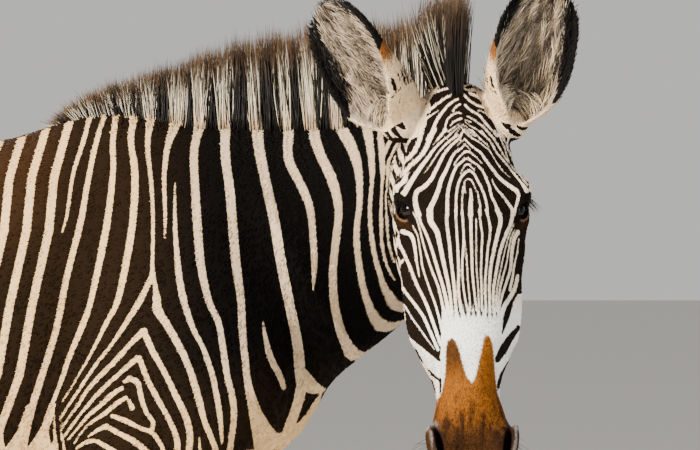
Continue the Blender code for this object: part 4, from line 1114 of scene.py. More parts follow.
def tan_share(drop, left, there):
    """How tan each point of the face is."""
    tan = np.full(len(drop), -1.0)
    for rows in TAN:
        down, near, far = np.array(rows).T / 1000
        near, far = np.interp(drop, down, near), np.interp(drop, down, far)
        patch = np.abs(left - (near + far) / 2) * -1 + np.abs(far - near) / 2
        tan = np.maximum(tan, np.minimum(patch, (drop - down[0]) * 0.6))
    tan = np.where(there, tan, -1) + 0.0006 * np.sin(drop * 900 + left * 500)
    return ramp(tan, -0.0012, 0.0014)


def add_face(p, n, mark, light, dark):
    """Fine lines, white nose, barred cheeks, tan patches and dark muzzle."""
    h, f, _ = in_head(p).T
    drop, left = POLL[1] - p[:, 2], p[:, 1]
    on_head = past_seam(p) > 0.004
    front = ramp(n @ HEAD_AXES[1] + 0.25 * ramp(-drop, -0.05, 0.05), -0.05, 0.22)
    face = stroke_marks(np.stack([left, drop], -1), tapered(FACE_STROKES, FACE_THINNER))
    face = np.where(front > 0.5, face, cheek_mark(h, f))
    light = np.where(on_head[:, None], COLOURS["face"][0], light)
    dark = np.where(on_head[:, None], COLOURS["face"][1], dark)
    mark = np.where(on_head, face, mark)

    # White bridge of the nose, whose upper edge is toothed, and white cheeks with black bars.
    left = left - MUZZLE_SIDE
    teeth = (drop - 0.352) * 0.12 - 0.0012 + 0.0011 * np.sin(left * 720 + 0.6 * np.sin(left * 170))
    white = np.maximum(np.minimum(teeth, FAR), drop - 0.376)
    low = drop - np.interp(left, (-0.098, -0.051, -0.045, 0.043, 0.081), (0.391, 0.434, 0.34, 0.386, 0.336))
    sides = np.minimum(low, np.where(left < 0, -left - 0.0455, left - 0.041))
    white = np.maximum(np.minimum(white, 0.046 - np.abs(left + 0.001)), sides)
    bars = stroke_marks(np.stack([left, drop], -1), CHEEK_BARS)
    unbarred = np.where(drop < 0.50, -bars, FAR)
    nose = on_head & (front > 0.10) & (drop > 0.335)
    mark = np.where(nose, np.maximum(mark, np.minimum(white, unbarred)), mark)
    mark = np.where(nose & (drop > 0.38), np.minimum(mark, unbarred), mark)
    light = mix(light, NOSE_WHITE, ramp(drop, 0.33, 0.375) * on_head * (front > 0.3))

    # Tan patches over the muzzle, with painted shade over the right patch's upper end, and the dark skin of
    # the lips.
    tan = tan_share(drop, left, on_head & ((f > -0.07) | (drop > 0.5)))
    light = mix(light, ORANGE, tan)
    # Painted shade over the upper end of the right tan patch.
    light = mix(light, TAN_PAINTED_SHADE, tan * ramp(-drop, -0.475, -0.43) * (left < 0))
    mark = np.where(tan > 0.3, WHITE, mark)
    light = mix(light, MUZZLE_DARK, ramp(drop, 0.500, 0.565) * on_head * 0.90)
    lips = ramp(drop + 0.10 * ramp(-f, 0.08, 0.11), 0.585, 0.615) * on_head
    light = mix(light, MUZZLE_SKIN, lips)
    return np.where(on_head & (drop > 0.50), WHITE, mark), light, dark


def add_eyes(p, mark, light, dark):
    """Dark rims of the lids, a tan lower lid and a brown patch under it, and the nostrils, whose openings are
    darkened with painted shade.
    """
    on_head = past_seam(p) > 0.004
    rim, over = eye_rim(p)
    by_eye = on_head & (rim < 0.026)
    mark = np.where(by_eye, np.minimum(mark, (rim - 0.0045) * 0.9), mark)
    dark = mix(dark, LID_RIM, ramp(-rim, -0.006, -0.003) * by_eye)
    lower_lid = ramp(rim, 0.001, 0.0022) * ramp(-rim, -0.0055, -0.0040) * ramp(-over, 0.002, 0.007) * by_eye
    dark = mix(dark, LID_LOWER, lower_lid)
    dark = mix(dark, LID_ROUND, ramp(-rim, -0.012, -0.005) * by_eye * (1 - lower_lid))
    below = ramp(rim, 0.005, 0.008) * ramp(-rim, -0.020, -0.012) * ramp(-over, 0.0, 0.008) * by_eye
    dark = mix(dark, UNDER_EYE, below)

    h, f, y = in_head(p).T
    y = np.abs(y)
    hole = np.hypot((h - 0.590) / 0.0270, (y - 0.0550 - (0.592 - h) * 0.16) / 0.0090)
    hole = np.where(on_head & (f > -0.075) & (h > 0.54), hole, 9.0)
    rim_share = ramp(-hole, -1.9, -1.3) * ramp(y, 0.050, 0.060) * ramp(-y, -0.073, -0.067)
    light = mix(light, NOSTRIL_RIM, rim_share)
    # The openings: dark lining and painted shade of their depth.
    return mark, mix(light, NOSTRIL_HOLE_SHADE, ramp(-hole, -1.15, -0.90)), dark


def ear_place(p, n):
    """Each point's ear (0 for none), share of its length, distance from its rims, and 1 on its inner face."""
    side_of, share = np.zeros(len(p)), np.zeros(len(p))
    rim, inner = np.full(len(p), 1.0), np.zeros(len(p))
    outline = ear_sections((EAR_IN + EAR_WALL) / 2)
    line = np.vstack([outline[:, 0], outline[::-1, -1]])
    station, *columns = zip(*EAR_SHAPE)
    for side in (1, -1):
        root, axes = ear_frame(side)
        local = (p - root) @ axes.T
        t = local[:, 2] / EAR_LENGTH
        half, depth, angle = (np.interp(t, station, column) for column in columns)
        half, depth, angle = half * EAR_WIDTH, depth * EAR_DEPTH, np.radians(angle)
        near = (np.abs(local[:, 0]) < half + 0.012) & (np.abs(local[:, 1]) < depth + 0.03)
        index = (near & (t > 0.02) & (t < 1.05) & (p[:, 2] > EAR_LEVEL)).nonzero()[0]
        at = local[index]
        best = np.full(len(at), 1.0)
        for a, b in zip(line, line[1:]):
            step = b - a
            u = np.clip((at - a) @ step / max(step @ step, 1e-12), 0, 1)
            best = np.minimum(best, np.linalg.norm(at - a - u[:, None] * step, axis=1))
        deep = local[:, 1] + depth * np.sin(angle) / angle
        facing = (n @ axes.T)[:, :2] * np.stack([local[:, 0] / half**2, deep / depth**2], -1)
        side_of[index], share[index], rim[index] = side, at[:, 2] / EAR_LENGTH, best
        inner[index] = facing.sum(1)[index] < 0
    return side_of, share, rim, inner


def ear_across(p):
    """Which side of its ear each point is on: above 0 toward the first axis of the ear's frame."""
    left, right = ((p - root) @ axes[0] for root, axes in (ear_frame(1), ear_frame(-1)))
    return np.where(p[:, 1] > 0, left, right)


def add_ears(p, n, mark, light, dark):
    """Pale fur round the ears' roots; black rims and upper back, pale inside, cream at the back's root."""
    root_far = np.min([np.linalg.norm(p - ear_frame(s)[0], axis=1) for s in (1, -1)], 0)
    foot = (root_far < 0.046 + 0.004 * np.sin(p @ (190, 260, 230))) & (p[:, 2] > EAR_LEVEL)
    mark = np.where(foot, WHITE, mark)
    light = np.where(foot[:, None], EAR_FOOT, light)

    side, share, rim, inner = ear_place(p, n)
    ground = (side != 0) & (share > EAR_START)
    middle = ramp(rim, 0.012, 0.035) * (0.6 + 0.4 * np.clip(waver(p * 5.0, 0.12), -1, 1))
    inside = mix(*EAR_INSIDE, middle)
    back = mix(*EAR_BACK, ramp(share, 0.36, 0.46) * ramp(-rim, -0.060, -0.035))
    light = np.where(ground[:, None], np.where(inner[:, None] > 0, inside, back), light)
    dark = np.where(ground[:, None], COLOURS["ear"][1], dark)

    # The black rim starts higher up on the side toward the mane, and widens at the tip.
    low = 0.24 + 0.26 * (side * ear_across(p) < 0)
    edge = rim - 0.022 * ramp(share, low, low + 0.10) - 0.010 * ramp(share, 0.75, 0.95)
    behind = np.minimum(edge, 0.060 - 0.12 * np.maximum(share - EAR_START, 0))

    # A cluster of small black spots on the back, near its outer rim.
    cells = np.sin(p @ (330, 120, 60)) * np.sin(p @ (-80, 350, 150))
    cells = cells + 0.3 * np.sin(p @ (400, -290, 500) + 1.0)
    cluster = np.hypot((share - 0.29) / 0.095, (-side * ear_across(p) - 0.037) / 0.033)
    spots = (0.20 - cells) * 0.006 + 0.02 * ramp(cluster, 0.8, 1.1)
    mark = np.where(ground, np.where(inner > 0, edge, np.minimum(behind, spots)), mark)
    return mark, light, dark


def markings(p, n):
    """Mark (above 0 white), light and dark colour at points of the straight animal with these normals."""
    looks = add_face(p, n, body_mark(p, n), *body_colours(p))
    return add_ears(p, n, *add_eyes(p, *looks))


def muzzle_share(p):
    """How strongly the muzzle's dark streaks show; the weak ones from a drop of 0.40 are painted shade of the
    grooves down the nose.
    """
    drop, left = POLL[1] - p[:, 2], p[:, 1] - MUZZLE_SIDE
    there = (past_seam(p) > 0.1) & (np.abs(left) > np.interp(drop, (0.40, 0.48, 0.50), (0.022, 0.004, 0.0)))
    return np.where(there, 0.22 * ramp(drop, 0.40, 0.42) + 0.70 * ramp(drop, 0.46, 0.54), 0.0)


# ------------------------------------------------------------------------------ materials
class Shader:
    """A node material under construction."""

    def __init__(self, name, **sockets):
        self.material = bpy.data.materials.new(name)
        self.material.use_nodes = True
        self.tree = self.material.node_tree
        self.surface = self.tree.nodes["Principled BSDF"]
        for socket, value in sockets.items():
            self.surface.inputs[socket.replace("_", " ")].default_value = value

    def add(self, kind, inputs=(), output=0, **settings):
        """Adds a node and returns one of its outputs."""
        node = self.tree.nodes.new("ShaderNode" + kind)
        for key, value in settings.items():
            setattr(node, key, value)
        for key, value in dict(inputs).items():
            if isinstance(value, bpy.types.NodeSocket):
                self.tree.links.new(value, node.inputs[key])
            else:
                node.inputs[key].default_value = value
        return node.outputs[output]

    def read(self, name, output="Fac"):
        return self.add("Attribute", output=output, attribute_name=name)

    def noise(self, scale, detail=2.0, stretch=(1, 1, 1), turn=0.0, at=None):
        """Noise on the straight animal, longest where stretch is small, turned about Y."""
        place = at or self.read("straight", "Vector")
        if stretch != (1, 1, 1) or turn:
            inputs = {"Vector": place, "Rotation": (0, turn, 0), "Scale": stretch}
            place = self.add("Mapping", inputs, vector_type="POINT")
        return self.add("TexNoise", {"Vector": place, "Scale": scale, "Detail": detail}, "Fac")

    def span(self, value, low, high, to_low=0.0, to_high=1.0, smooth=False):
        return self.add(
            "MapRange",
            {"Value": value, "From Min": low, "From Max": high, "To Min": to_low, "To Max": to_high},
            interpolation_type="SMOOTHSTEP" if smooth else "LINEAR",
        )

    def step(self, value, low, high):
        """A soft edge between low and high."""
        return self.span(value, low, high, smooth=True)

    def maths(self, operation, a, b):
        return self.add("Math", {0: a, 1: b}, operation=operation)

    def blend(self, share, a, b):
        """From a to b; a colour given as three numbers gets its fourth."""
        a, b = ((*c, 1) if isinstance(c, tuple) else c for c in (a, b))
        return self.add("Mix", {0: share, 6: a, 7: b}, 2, data_type="RGBA", blend_type="MIX")

    def colour(self, value):
        self.tree.links.new(value, self.surface.inputs["Base Color"])

    def relief(self, height, strength, distance):
        """Bump from a height."""
        bump = self.add("Bump", {"Height": height, "Strength": strength, "Distance": distance})
        self.tree.links.new(bump, self.surface.inputs["Normal"])


def striped(shader, wave):
    """The markings' colour: the dark and light colours parted at mark 0, with an uneven edge."""
    edge = shader.span(shader.noise(240, 3), 0.25, 0.75, -wave, wave)
    edge = shader.maths("MULTIPLY", edge, shader.read("rough"))
    share = shader.step(shader.maths("ADD", shader.read("mark"), edge), -0.0006, 0.0006)
    return shader.blend(share, shader.read("dark", "Color"), shader.read("light", "Color"))


def uneven(shader, colour, low, high):
    """Colour with a fine and a broad change of tone."""
    fine = shader.span(shader.noise(900, 1), 0.3, 0.7, low, high)
    broad = shader.span(shader.noise(14, 2), 0.3, 0.7, 0.93, 1.07)
    return shader.add("HueSaturation", {"Color": colour, "Value": shader.maths("MULTIPLY", fine, broad)})


def mottled(shader, colour):
    """Dark streaks down the muzzle, in part painted shade of the grooves along the nose, where the attribute
    asks for them.
    """
    streaks = shader.step(shader.noise(80, 3, (1, 1, 0.16)), 0.45, 0.60)
    fine = shader.span(shader.noise(420, 2, (1, 1, 0.35)), 0.40, 0.70)
    share = shader.maths("MULTIPLY", shader.maths("MAXIMUM", streaks, fine), shader.read("mottle"))
    return shader.blend(share, colour, (0.022, 0.009, 0.004))


def skin_material():
    """Striped skin under flat fur, whose bump follows the body, the legs and the head."""
    shader = Shader("skin_coat", Roughness=0.8, Specular_IOR_Level=0.05)
    shader.colour(uneven(shader, mottled(shader, striped(shader, 0.0010)), 0.84, 1.14))
    body, leg, head = (
        shader.noise(1000, 2, (0.10, 1, 1)),
        shader.noise(1000, 2, (1, 1, 0.10)),
        shader.noise(1400, 2, (0.12, 1, 1), HEAD_PITCH),
    )
    fur = shader.add("Mix", {0: shader.read("low"), 2: body, 3: leg}, 0)
    fur = shader.add("Mix", {0: shader.read("fore"), 2: fur, 3: head}, 0)
    shader.relief(fur, 0.5, 0.0016)
    return shader.material


def hoof_material():
    """Horn: growth rings round the hoof and fine fibres down it."""
    shader = Shader("hoof_horn", Roughness=0.45, Specular_IOR_Level=0.35)
    place = shader.add("TexCoord", output="Object")
    rings = shader.noise(60, 2, (0.15, 0.15, 2.2), at=place)
    fibres = shader.noise(500, 2, (1, 1, 0.06), at=place)
    worn = shader.span(shader.add("SeparateXYZ", {0: place}, "Z"), 0.0, 0.035)
    colour = shader.blend(shader.step(rings, 0.35, 0.65), (0.050, 0.042, 0.036), (0.022, 0.018, 0.016))
    colour = shader.blend(worn, (0.115, 0.095, 0.078), colour)
    shader.colour(shader.blend(shader.span(fibres, 0.45, 0.75, 0.0, 0.6), colour, (0.14, 0.115, 0.09)))
    fine = shader.maths("MULTIPLY", fibres, 0.35)
    shader.relief(shader.maths("ADD", rings, fine), 0.6, 0.0012)
    return shader.material


def eye_material():
    """A dark brown eye under a wet surface, with a level pupil."""
    shader = Shader("eyeball", Roughness=0.08, Coat_Weight=0.2, Coat_Roughness=0.04, Specular_IOR_Level=0.16)
    across = shader.read("mark")
    fibres = shader.span(shader.noise(900, 3), 0.3, 0.7, 0.6, 1.3)
    iris = shader.add("HueSaturation", {"Color": (0.014, 0.007, 0.004, 1), "Value": fibres})
    iris = shader.blend(shader.step(across, 0.62, 0.78), iris, (0.006, 0.004, 0.0035))
    shader.colour(shader.blend(shader.step(across, 0.30, 0.36), (0.002, 0.002, 0.003), iris))
    return shader.material


def tuft_material():
    shader = Shader("short_coat", Roughness=0.7, Specular_IOR_Level=0.07)
    shader.colour(uneven(shader, mottled(shader, striped(shader, 0.0008)), 0.80, 1.18))
    return shader.material


def hair_material(name, steps=(), pale=None):
    """Long hair whose colour runs from root to tip: shares and colours over the stripe's own."""
    shader = Shader(name, Roughness=0.50, Specular_IOR_Level=0.25)
    share = shader.step(shader.read("mark"), -0.0004, 0.0004)
    level = shader.read("level")
    light, dark = shader.read("light", "Color"), shader.read("dark", "Color")
    if pale:
        light = shader.blend(shader.step(level, 0.12, 0.50), light, pale)
    shift = shader.span(shader.noise(120, 2, (1, 1, 0.15)), 0.3, 0.7, -0.06, 0.06)
    level = shader.maths("ADD", level, shift)
    for low, high, tone in steps:
        dark = shader.blend(shader.step(level, low, high), dark, tone)
    if steps:
        light = shader.blend(shader.step(level, 0.66, 0.88), light, steps[-1][2])
    shader.colour(uneven(shader, shader.blend(share, dark, light), 0.75, 1.22))
    return shader.material


# ------------------------------------------------------------------------------ coat
TUFTS = (       # piece, region, how many, length, width, rise of the tip, depth at the ridge
    ("coat_trunk_1", "trunk", 36000, 0.0100, 0.0020, 0.0014, 0.0020),
    ("coat_trunk_2", "trunk", 36000, 0.0100, 0.0020, 0.0014, 0.0020),
    ("coat_neck", "neck", 37000, 0.0095, 0.0018, 0.0014, 0.0019),
    ("coat_legs_1", "leg", 27000, 0.0075, 0.0017, 0.0011, 0.0016),
    ("coat_head_1", "head", 42000, 0.0048, 0.0011, 0.0008, 0.0011),
    ("coat_ears", "ear", 18000, 0.0100, 0.0013, 0.0026, 0.0016),
)
REGIONS = ("trunk", "neck", "leg", "head", "ear")
SUNK = 0.0005       # how deep in the skin a tuft's root is
RIDGE = 0.42        # share of a tuft's length at which its ridge is
FOLLOW = 0.80       # how far a tuft's tip takes the marking under it, rather than its root's
CUT = 0.0009        # how far a stripe's edge may bend under a tuft before the tuft is shortened
SHORTENED = 0.42    # to this share of its length
FORELEG_LIE, HINDLEG_LIE = (-0.16, 0.36), -0.62         # X between which, and behind which, hair hangs down
FORELEG_COAT, HINDLEG_COAT = (-0.16, 0.60), -0.66       # and where the legs' own coat is
LEG_TOP, LEGS_PART, LEG_OUT = 0.86, -0.4, 0.125         # its top; X between the legs; Y of each
MUZZLE_BARE, LIDS_BARE, HOOF_UNDER = 0.60, 0.004, 0.002         # where no coat grows
MAP_SHARE = 0.98    # how much of its strip of the chart a leg or an ear fills


def lie(p, n, ear_side):
    """Which way the coat lies at points of the straight animal."""
    x, y, z = p.T
    h, f, _ = in_head(p).T
    way = np.tile((-1.0, 0.0, -0.30), (len(p), 1))
    way = mix(way, (-0.75, 0.0, -0.66), ramp(x, 0.05, 0.30) * ramp(z, 1.0, 1.15))
    way = mix(way, (-0.5, 0.0, -0.9), ramp(-x, 0.80, 1.10))
    on_leg = (x > FORELEG_LIE[0]) & (x < FORELEG_LIE[1]) | (x < HINDLEG_LIE)
    way = mix(way, (-0.12, 0.0, -1.0), ramp(-z, -1.02, -0.85) * on_leg)
    way = np.where((x < -1.19)[:, None], (0.0, 0.0, -1.0), way)

    # From the whorl of the forehead the coat runs up and down the face and outward.
    on_head = ramp(past_seam(p), -0.03, 0.03)
    down = ramp(h, 0.13, 0.20)[:, None]
    outward = np.array((0, 1.0, 0)) * np.sign(y)[:, None] * 0.5 * (1 - np.abs(2 * down - 1))
    whorl = HEAD_AXES[0] * (2 * down - 1) + outward
    whorl = mix(whorl, HEAD_AXES[0] * 0.8 - HEAD_AXES[1] * 0.5, ramp(-f, 0.07, 0.14))
    way = mix(way, whorl, on_head)
    way = mix(way, (-0.25, 0.0, 1.0), ramp(z, 1.466, 1.482) * ramp(x, -0.04, 0.02) * (1 - on_head))
    for side in (1, -1):
        _, axes = ear_frame(side)
        way = np.where((ear_side == side)[:, None], axes[2] - 0.15 * axes[1], way)
    return unit(way - n * np.sum(way * n, 1, keepdims=True))


def region_of(p, ear_side, share):
    """Each point's place in REGIONS."""
    x, _, z = p.T
    region = np.zeros(len(p), int)
    region[x > slice_x(BASE_SLICE, z) + 0.15] = REGIONS.index("neck")
    on_leg = (x > FORELEG_COAT[0]) & (x < FORELEG_COAT[1]) | (x < HINDLEG_COAT)
    region[on_leg & (z < LEG_TOP)] = REGIONS.index("leg")
    region[past_seam(p) > 0] = REGIONS.index("head")
    region[(ear_side != 0) & (share > EAR_START)] = REGIONS.index("ear")
    return region


def around(a, b):
    """The angle whose tangent is a / b, as a share of the full turn."""
    return np.arctan2(a, b) / (2 * math.pi) % 1.0


def chart(region, p):
    """Where a root lies on the region's unwrap, from 0 to 1 both ways."""
    x, y, z = p.T
    if region == "trunk":
        along, turn = (x + 1.30) / 1.75, around(y, z - 1.15)
    elif region == "neck":
        along, turn = (x - 0.05) / 0.75, around(y, z - 1.32)
    elif region == "head":
        h, f, _ = in_head(p).T
        along, turn = (h + 0.06) / 0.75, around(y, f + 0.12)
    elif region == "leg":
        fore = x > LEGS_PART
        turn = around(np.abs(y) - LEG_OUT, x - np.where(fore, 0.07, -1.05))
        along, turn = z / 0.88, (fore * 2 + (y > 0) + turn * MAP_SHARE) / 4
    else:
        left, right = ((p - root) @ axes.T for root, axes in (ear_frame(1), ear_frame(-1)))
        local = np.where((y > 0)[:, None], left, right)
        across = np.clip(local[:, 0] / 0.18 + 0.5, 0, 1) * MAP_SHARE
        along, turn = local[:, 2] / EAR_LENGTH, ((y > 0) + across) / 2
    return np.stack([np.clip(along, 0, 1), turn], -1)


def scattered(mesh_data, count, weights):
    """Random roots on the skin: places and normals."""
    points, normals, triangles = mesh_data
    a, b, c = (points[triangles[:, k]] for k in range(3))
    area = np.linalg.norm(np.cross(b - a, c - a), axis=1) * weights
    pick = rng.choice(len(triangles), size=count, p=area / area.sum())
    u, v = rng.random(count), rng.random(count)
    over = u + v > 1
    u[over], v[over] = 1 - u[over], 1 - v[over]
    share = np.stack([1 - u - v, u, v], -1)[:, :, None]
    corners = triangles[pick]
    return (points[corners] * share).sum(1), unit((normals[corners] * share).sum(1))


def short_tufts(name, region, root, normal, way, sizes, material):
    """One piece of closed, flat tufts: each has two points at its root, one on its ridge and its tip."""
    long, wide, rise, deep = sizes
    count = len(root)
    vary = rng.uniform(0.7, 1.25, (count, 1))
    way = unit(way + np.cross(normal, way) * rng.normal(0, 0.16, (count, 1)))
    across = np.cross(normal, way)
    rise = rise * rng.uniform(0.4, 1.5, (count, 1))
    mark, light, dark = markings(root, normal)
    half, ahead = (markings(root + way * long * vary * share, normal)[0] for share in (0.5, 1.0))
    cut = np.abs(half - (mark + ahead) / 2) > CUT
    ahead = mark + (np.where(cut, half, ahead) - mark) * FOLLOW
    vary = np.where(cut[:, None], vary * SHORTENED, vary)
    base = root - normal * SUNK
    tufts = np.stack([
        base + across * wide / 2 * vary,
        base - across * wide / 2 * vary,
        root + way * long * vary * RIDGE + normal * deep,
        root + way * long * vary + normal * rise,
    ], 1)
    marks = np.stack([mark, mark, mark + (ahead - mark) * RIDGE, ahead], 1)
    marks = marks + rng.normal(0, 0.0005, (count, 1))
    return many(
        name, tufts, [(0, 1, 2), (0, 2, 3), (1, 3, 2), (0, 3, 1)], chart(region, root),
        [(0, 0), (0.003, 0), (0.0015, 0.0015), (0.0015, 0.003)], material,
        mark=marks.ravel(), light=light, dark=dark, rough=np.zeros(count), mottle=muzzle_share(root),
    )


def tuft_size(region, root):
    """How much longer and wider than usual each tuft is."""
    x, _, z = root.T
    if region == "leg":
        return np.interp(z, (0.08, 0.4, 0.86), (0.7, 0.8, 1.25))
    if region == "head":
        h, f, _ = in_head(root).T
        return np.interp(h, (0.0, 0.2, 0.45, 0.62), (1.35, 1.0, 0.85, 0.7)) * (1 + 0.9 * ramp(-f, 0.10, 0.20))
    return 1 + 0.9 * (ramp(z, 1.470, 1.484) * (region != "ear") * (x > 0))


def dress(mesh_data):
    """The short coat, region by region; muzzle, lids and hooves stay bare."""
    points, normals, triangles = mesh_data
    middle = points[triangles].mean(1)
    ear_side, share, _, _ = ear_place(middle, normals[triangles].mean(1))
    region = region_of(middle, ear_side, share)
    bare = (in_head(middle)[:, 0] > MUZZLE_BARE) | (eye_rim(middle)[0] < LIDS_BARE)
    bare |= middle[:, 2] < HOOF_TOP - HOOF_UNDER
    material = tuft_material()
    for name, where, count, *sizes in TUFTS:
        weights = (region == REGIONS.index(where)) * np.where(bare, 0.0, 1.0)
        if where == "leg":
            weights = weights * (1 + ramp(-middle[:, 2], -0.5, -0.1))
        root, normal = scattered(mesh_data, count, weights)
        way = lie(root, normal, ear_place(root, normal)[0])
        size = tuft_size(where, root)[:, None]
        short_tufts(name, where, root, normal, way, [length * size for length in sizes], material)


# ------------------------------------------------------------------------------ long hair
MANE_LOCKS, TAIL_LOCKS, EAR_LOCKS = 12000, 2600, 2600
FOOT_SHARE = 0.22       # share of an ear's locks that stand in tufts at its foot
# The pale of each ear's hair; the right ear's (side -1) is darker only by painted shade.
EAR_TONE_AND_SHADE = {1: (0.80, 0.66, 0.47), -1: (0.56, 0.46, 0.34)}
EAR_STREAK, RIM_BLACK = (0.050, 0.038, 0.029), (0.006, 0.005, 0.005)
MANE_END = 0.878        # X of the crest where the forelock ends
FORELOCK = 0.850        # and where it starts
MANE_TIPS = ((0.50, 0.76, (0.024, 0.014, 0.008)), (0.78, 1.0, (0.13, 0.076, 0.038)))
MANE_PALE, MANE_DARK = (0.64, 0.59, 0.48), (0.0045, 0.0040, 0.0042)
MANE_PERIOD = 0.026     # of the white bands behind the ears
TAIL_TIPS = ((0.35, 0.60, (0.030, 0.018, 0.012)), (0.85, 1.0, (0.09, 0.05, 0.03)))
TAIL_LIGHT, TAIL_DARK = (0.62, 0.56, 0.48), (0.022, 0.016, 0.013)
TAPER = ((0, 0.3, 0.7, 1.0), (0.85, 1.0, 0.72, 0.0))    # a lock's width from root to tip
LASHES = (      # H, F, Y of the middle, way, bend, half spans along H, F, Y
    ((0.186, -0.034, 0.094), (0.10, 0.55, 0.80), (0.75, 0.0, 0.0), (0.004, 0.006, 0.009)),
)
WHISKERS = (
    ((0.600, -0.060, 0.062), (0.35, 0.25, 0.90), (0.4, 0.0, 0.0), (0.026, 0.024, 0.004)),
    ((0.628, -0.062, 0.030), (0.80, 0.50, 0.35), (0.3, 0.0, 0.0), (0.006, 0.020, 0.016)),
    ((0.575, -0.125, 0.020), (0.75, -0.50, 0.30), (0.3, 0.0, 0.0), (0.025, 0.006, 0.014)),
)


def locks(name, centre, across, width, mark, light, dark, uv, material, mane=False):
    """One piece of closed three-sided locks along the given centre lines, tapered to their tips."""
    count, rows, _ = centre.shape
    along = unit(np.gradient(centre, axis=1))
    across = np.tile(across, (count, 1, 1))
    across = unit(across - along * np.sum(across * along, -1, keepdims=True))
    third = np.cross(along, across)
    share = np.linspace(0, 1, rows)
    half = width[:, None, None] / 2 * np.interp(share, *TAPER)[None, :, None]
    back, aside = centre - across * half * 0.5, third * half * 0.87
    ring = np.stack([centre + across * half, back + aside, back - aside], 2)[:, :-1]
    last = 3 * (rows - 2)
    faces = [(0, 2, 1)]
    for i in range(0, last, 3):
        for j in range(3):
            a, b = i + j, i + (j + 1) % 3
            faces += [(a, b, b + 3), (a, b + 3, a + 3)]
    faces += [(last + j, last + (j + 1) % 3, last + 3) for j in range(3)]
    level = np.append(np.repeat(share[:-1], 3), 1.0)
    shifts = [(0.0010 * (k % 3), 0.003 * s) for k, s in enumerate(level[:-1])] + [(0.001, 0.003)]
    shapes = np.concatenate([ring.reshape(count, -1, 3), centre[:, -1:]], 1)
    light, dark = np.broadcast_to(light, (count, 3)), np.broadcast_to(dark, (count, 3))
    return many(
        name, shapes, faces, uv, shifts, material, "long_hair", mane,
        mark=np.broadcast_to(mark, count), light=light, dark=dark, level=np.tile(level, count),
    )


def ear_point(grid, share, place):
    """A point of the ear's inner sheet, by share of the length and place across it from 0 to 1."""
    rows, columns, _ = grid.shape
    i = np.clip(share * (rows - 1), 0, rows - 1.001)
    j = np.clip(place * (columns - 1), 0, columns - 1.001)
    i0, j0 = i.astype(int), j.astype(int)
    u, v = (i - i0)[:, None], (j - j0)[:, None]
    low = grid[i0, j0] * (1 - v) + grid[i0, j0 + 1] * v
    return low * (1 - u) + (grid[i0 + 1, j0] * (1 - v) + grid[i0 + 1, j0 + 1] * v) * u


def ear_hair(name, side):
    """Long hair in the cup of an ear: pale along the rims, streaked in the middle, with tufts at its foot;
    the right ear's is darker by painted shade.
    """
    grid = ear_sections(EAR_WALL)
    root, axes = ear_frame(side)
    count = EAR_LOCKS
    foot = np.arange(count) < count * FOOT_SHARE
    share = np.where(foot, rng.uniform(0.0, 0.16, count), rng.uniform(0.03, 0.88, count) ** 1.1)
    place = 0.5 + rng.uniform(-0.41, 0.41, count)
    place = np.where(foot, np.where(rng.random(count) < 0.5, 0.5 + (place - 0.5) * 1.18, place), place)
    at = ear_point(grid, share, place)
    along = unit(ear_point(grid, np.minimum(share + 0.05, 0.97), place) - at)
    beside = [ear_point(grid, share, np.clip(place + step, 0, 1)) for step in (0.02, -0.02)]
    over = unit(beside[0] - beside[1])
    inward = unit(np.cross(along, over))
    inward = inward * np.sign(np.sum(inward * (np.array((0, -0.02, 0)) - at * (1, 1, 0)), 1, keepdims=True))
    edge, toward = np.abs(place - 0.5) * 2, np.sign(place - 0.5)

    # The locks lean inward and fan out in clumps; those at the foot stand away from the cup.
    clump = np.sin(place * 47 + 2.2 * np.sin(share * 9 + side)) + np.sin(place * 23 - share * 14 + 1.7 * side)
    long = rng.uniform(0.024, 0.050, count) * np.interp(share, (0, 0.2, 0.7, 0.9), (1.1, 1.15, 0.8, 0.5))
    spray = inward * (rng.uniform(0.15, 0.50, count) + 0.14 * clump)[:, None]
    spray = spray + rng.normal(0, 0.13, (count, 3))
    sideways = 0.22 * np.cos(place * 47 + share * 11) - 0.30 * ramp(edge, 0.5, 1.0) * toward
    spray = spray + over * sideways[:, None]
    out = inward * np.where(foot, 0.9, 0.0)[:, None]
    way = unit(along * np.where(foot, 0.45, 1.0)[:, None] + spray + out)
    bend = inward * -0.25 * rng.uniform(0.3, 1.2, (count, 1)) - np.where(foot, 0.25, 0.0)[:, None] * along
    t, size = np.linspace(0, 1, 4)[None, :, None], long[:, None, None]
    centre = at[:, None] + way[:, None] * size * t + bend[:, None] * (size * t**2)

    pale = 0.35 + 0.55 * ramp(edge, 0.2, 0.75) + 0.30 * clump + rng.normal(0, 0.12, count)
    pale = np.where(foot, 0.9, pale - 0.2 * ramp(share, 0.6, 0.9))
    medial = toward * side < 0
    rim = (edge > np.where(medial, 0.58, 0.56)) & (share > np.where(medial, 0.44, 0.24)) & ~foot
    # For the right ear the pale tone carries painted shade.
    tone = mix(EAR_STREAK, EAR_TONE_AND_SHADE[side], np.clip(pale, 0, 1))
    tone = np.where(rim[:, None], RIM_BLACK, tone)
    uv = np.stack([share, (place + (side > 0)) / 2], -1)
    width = rng.uniform(0.0009, 0.0020, count)
    locks(name, centre @ axes + root, axes[0], width, WHITE, tone, tone, uv, hair_material(name))


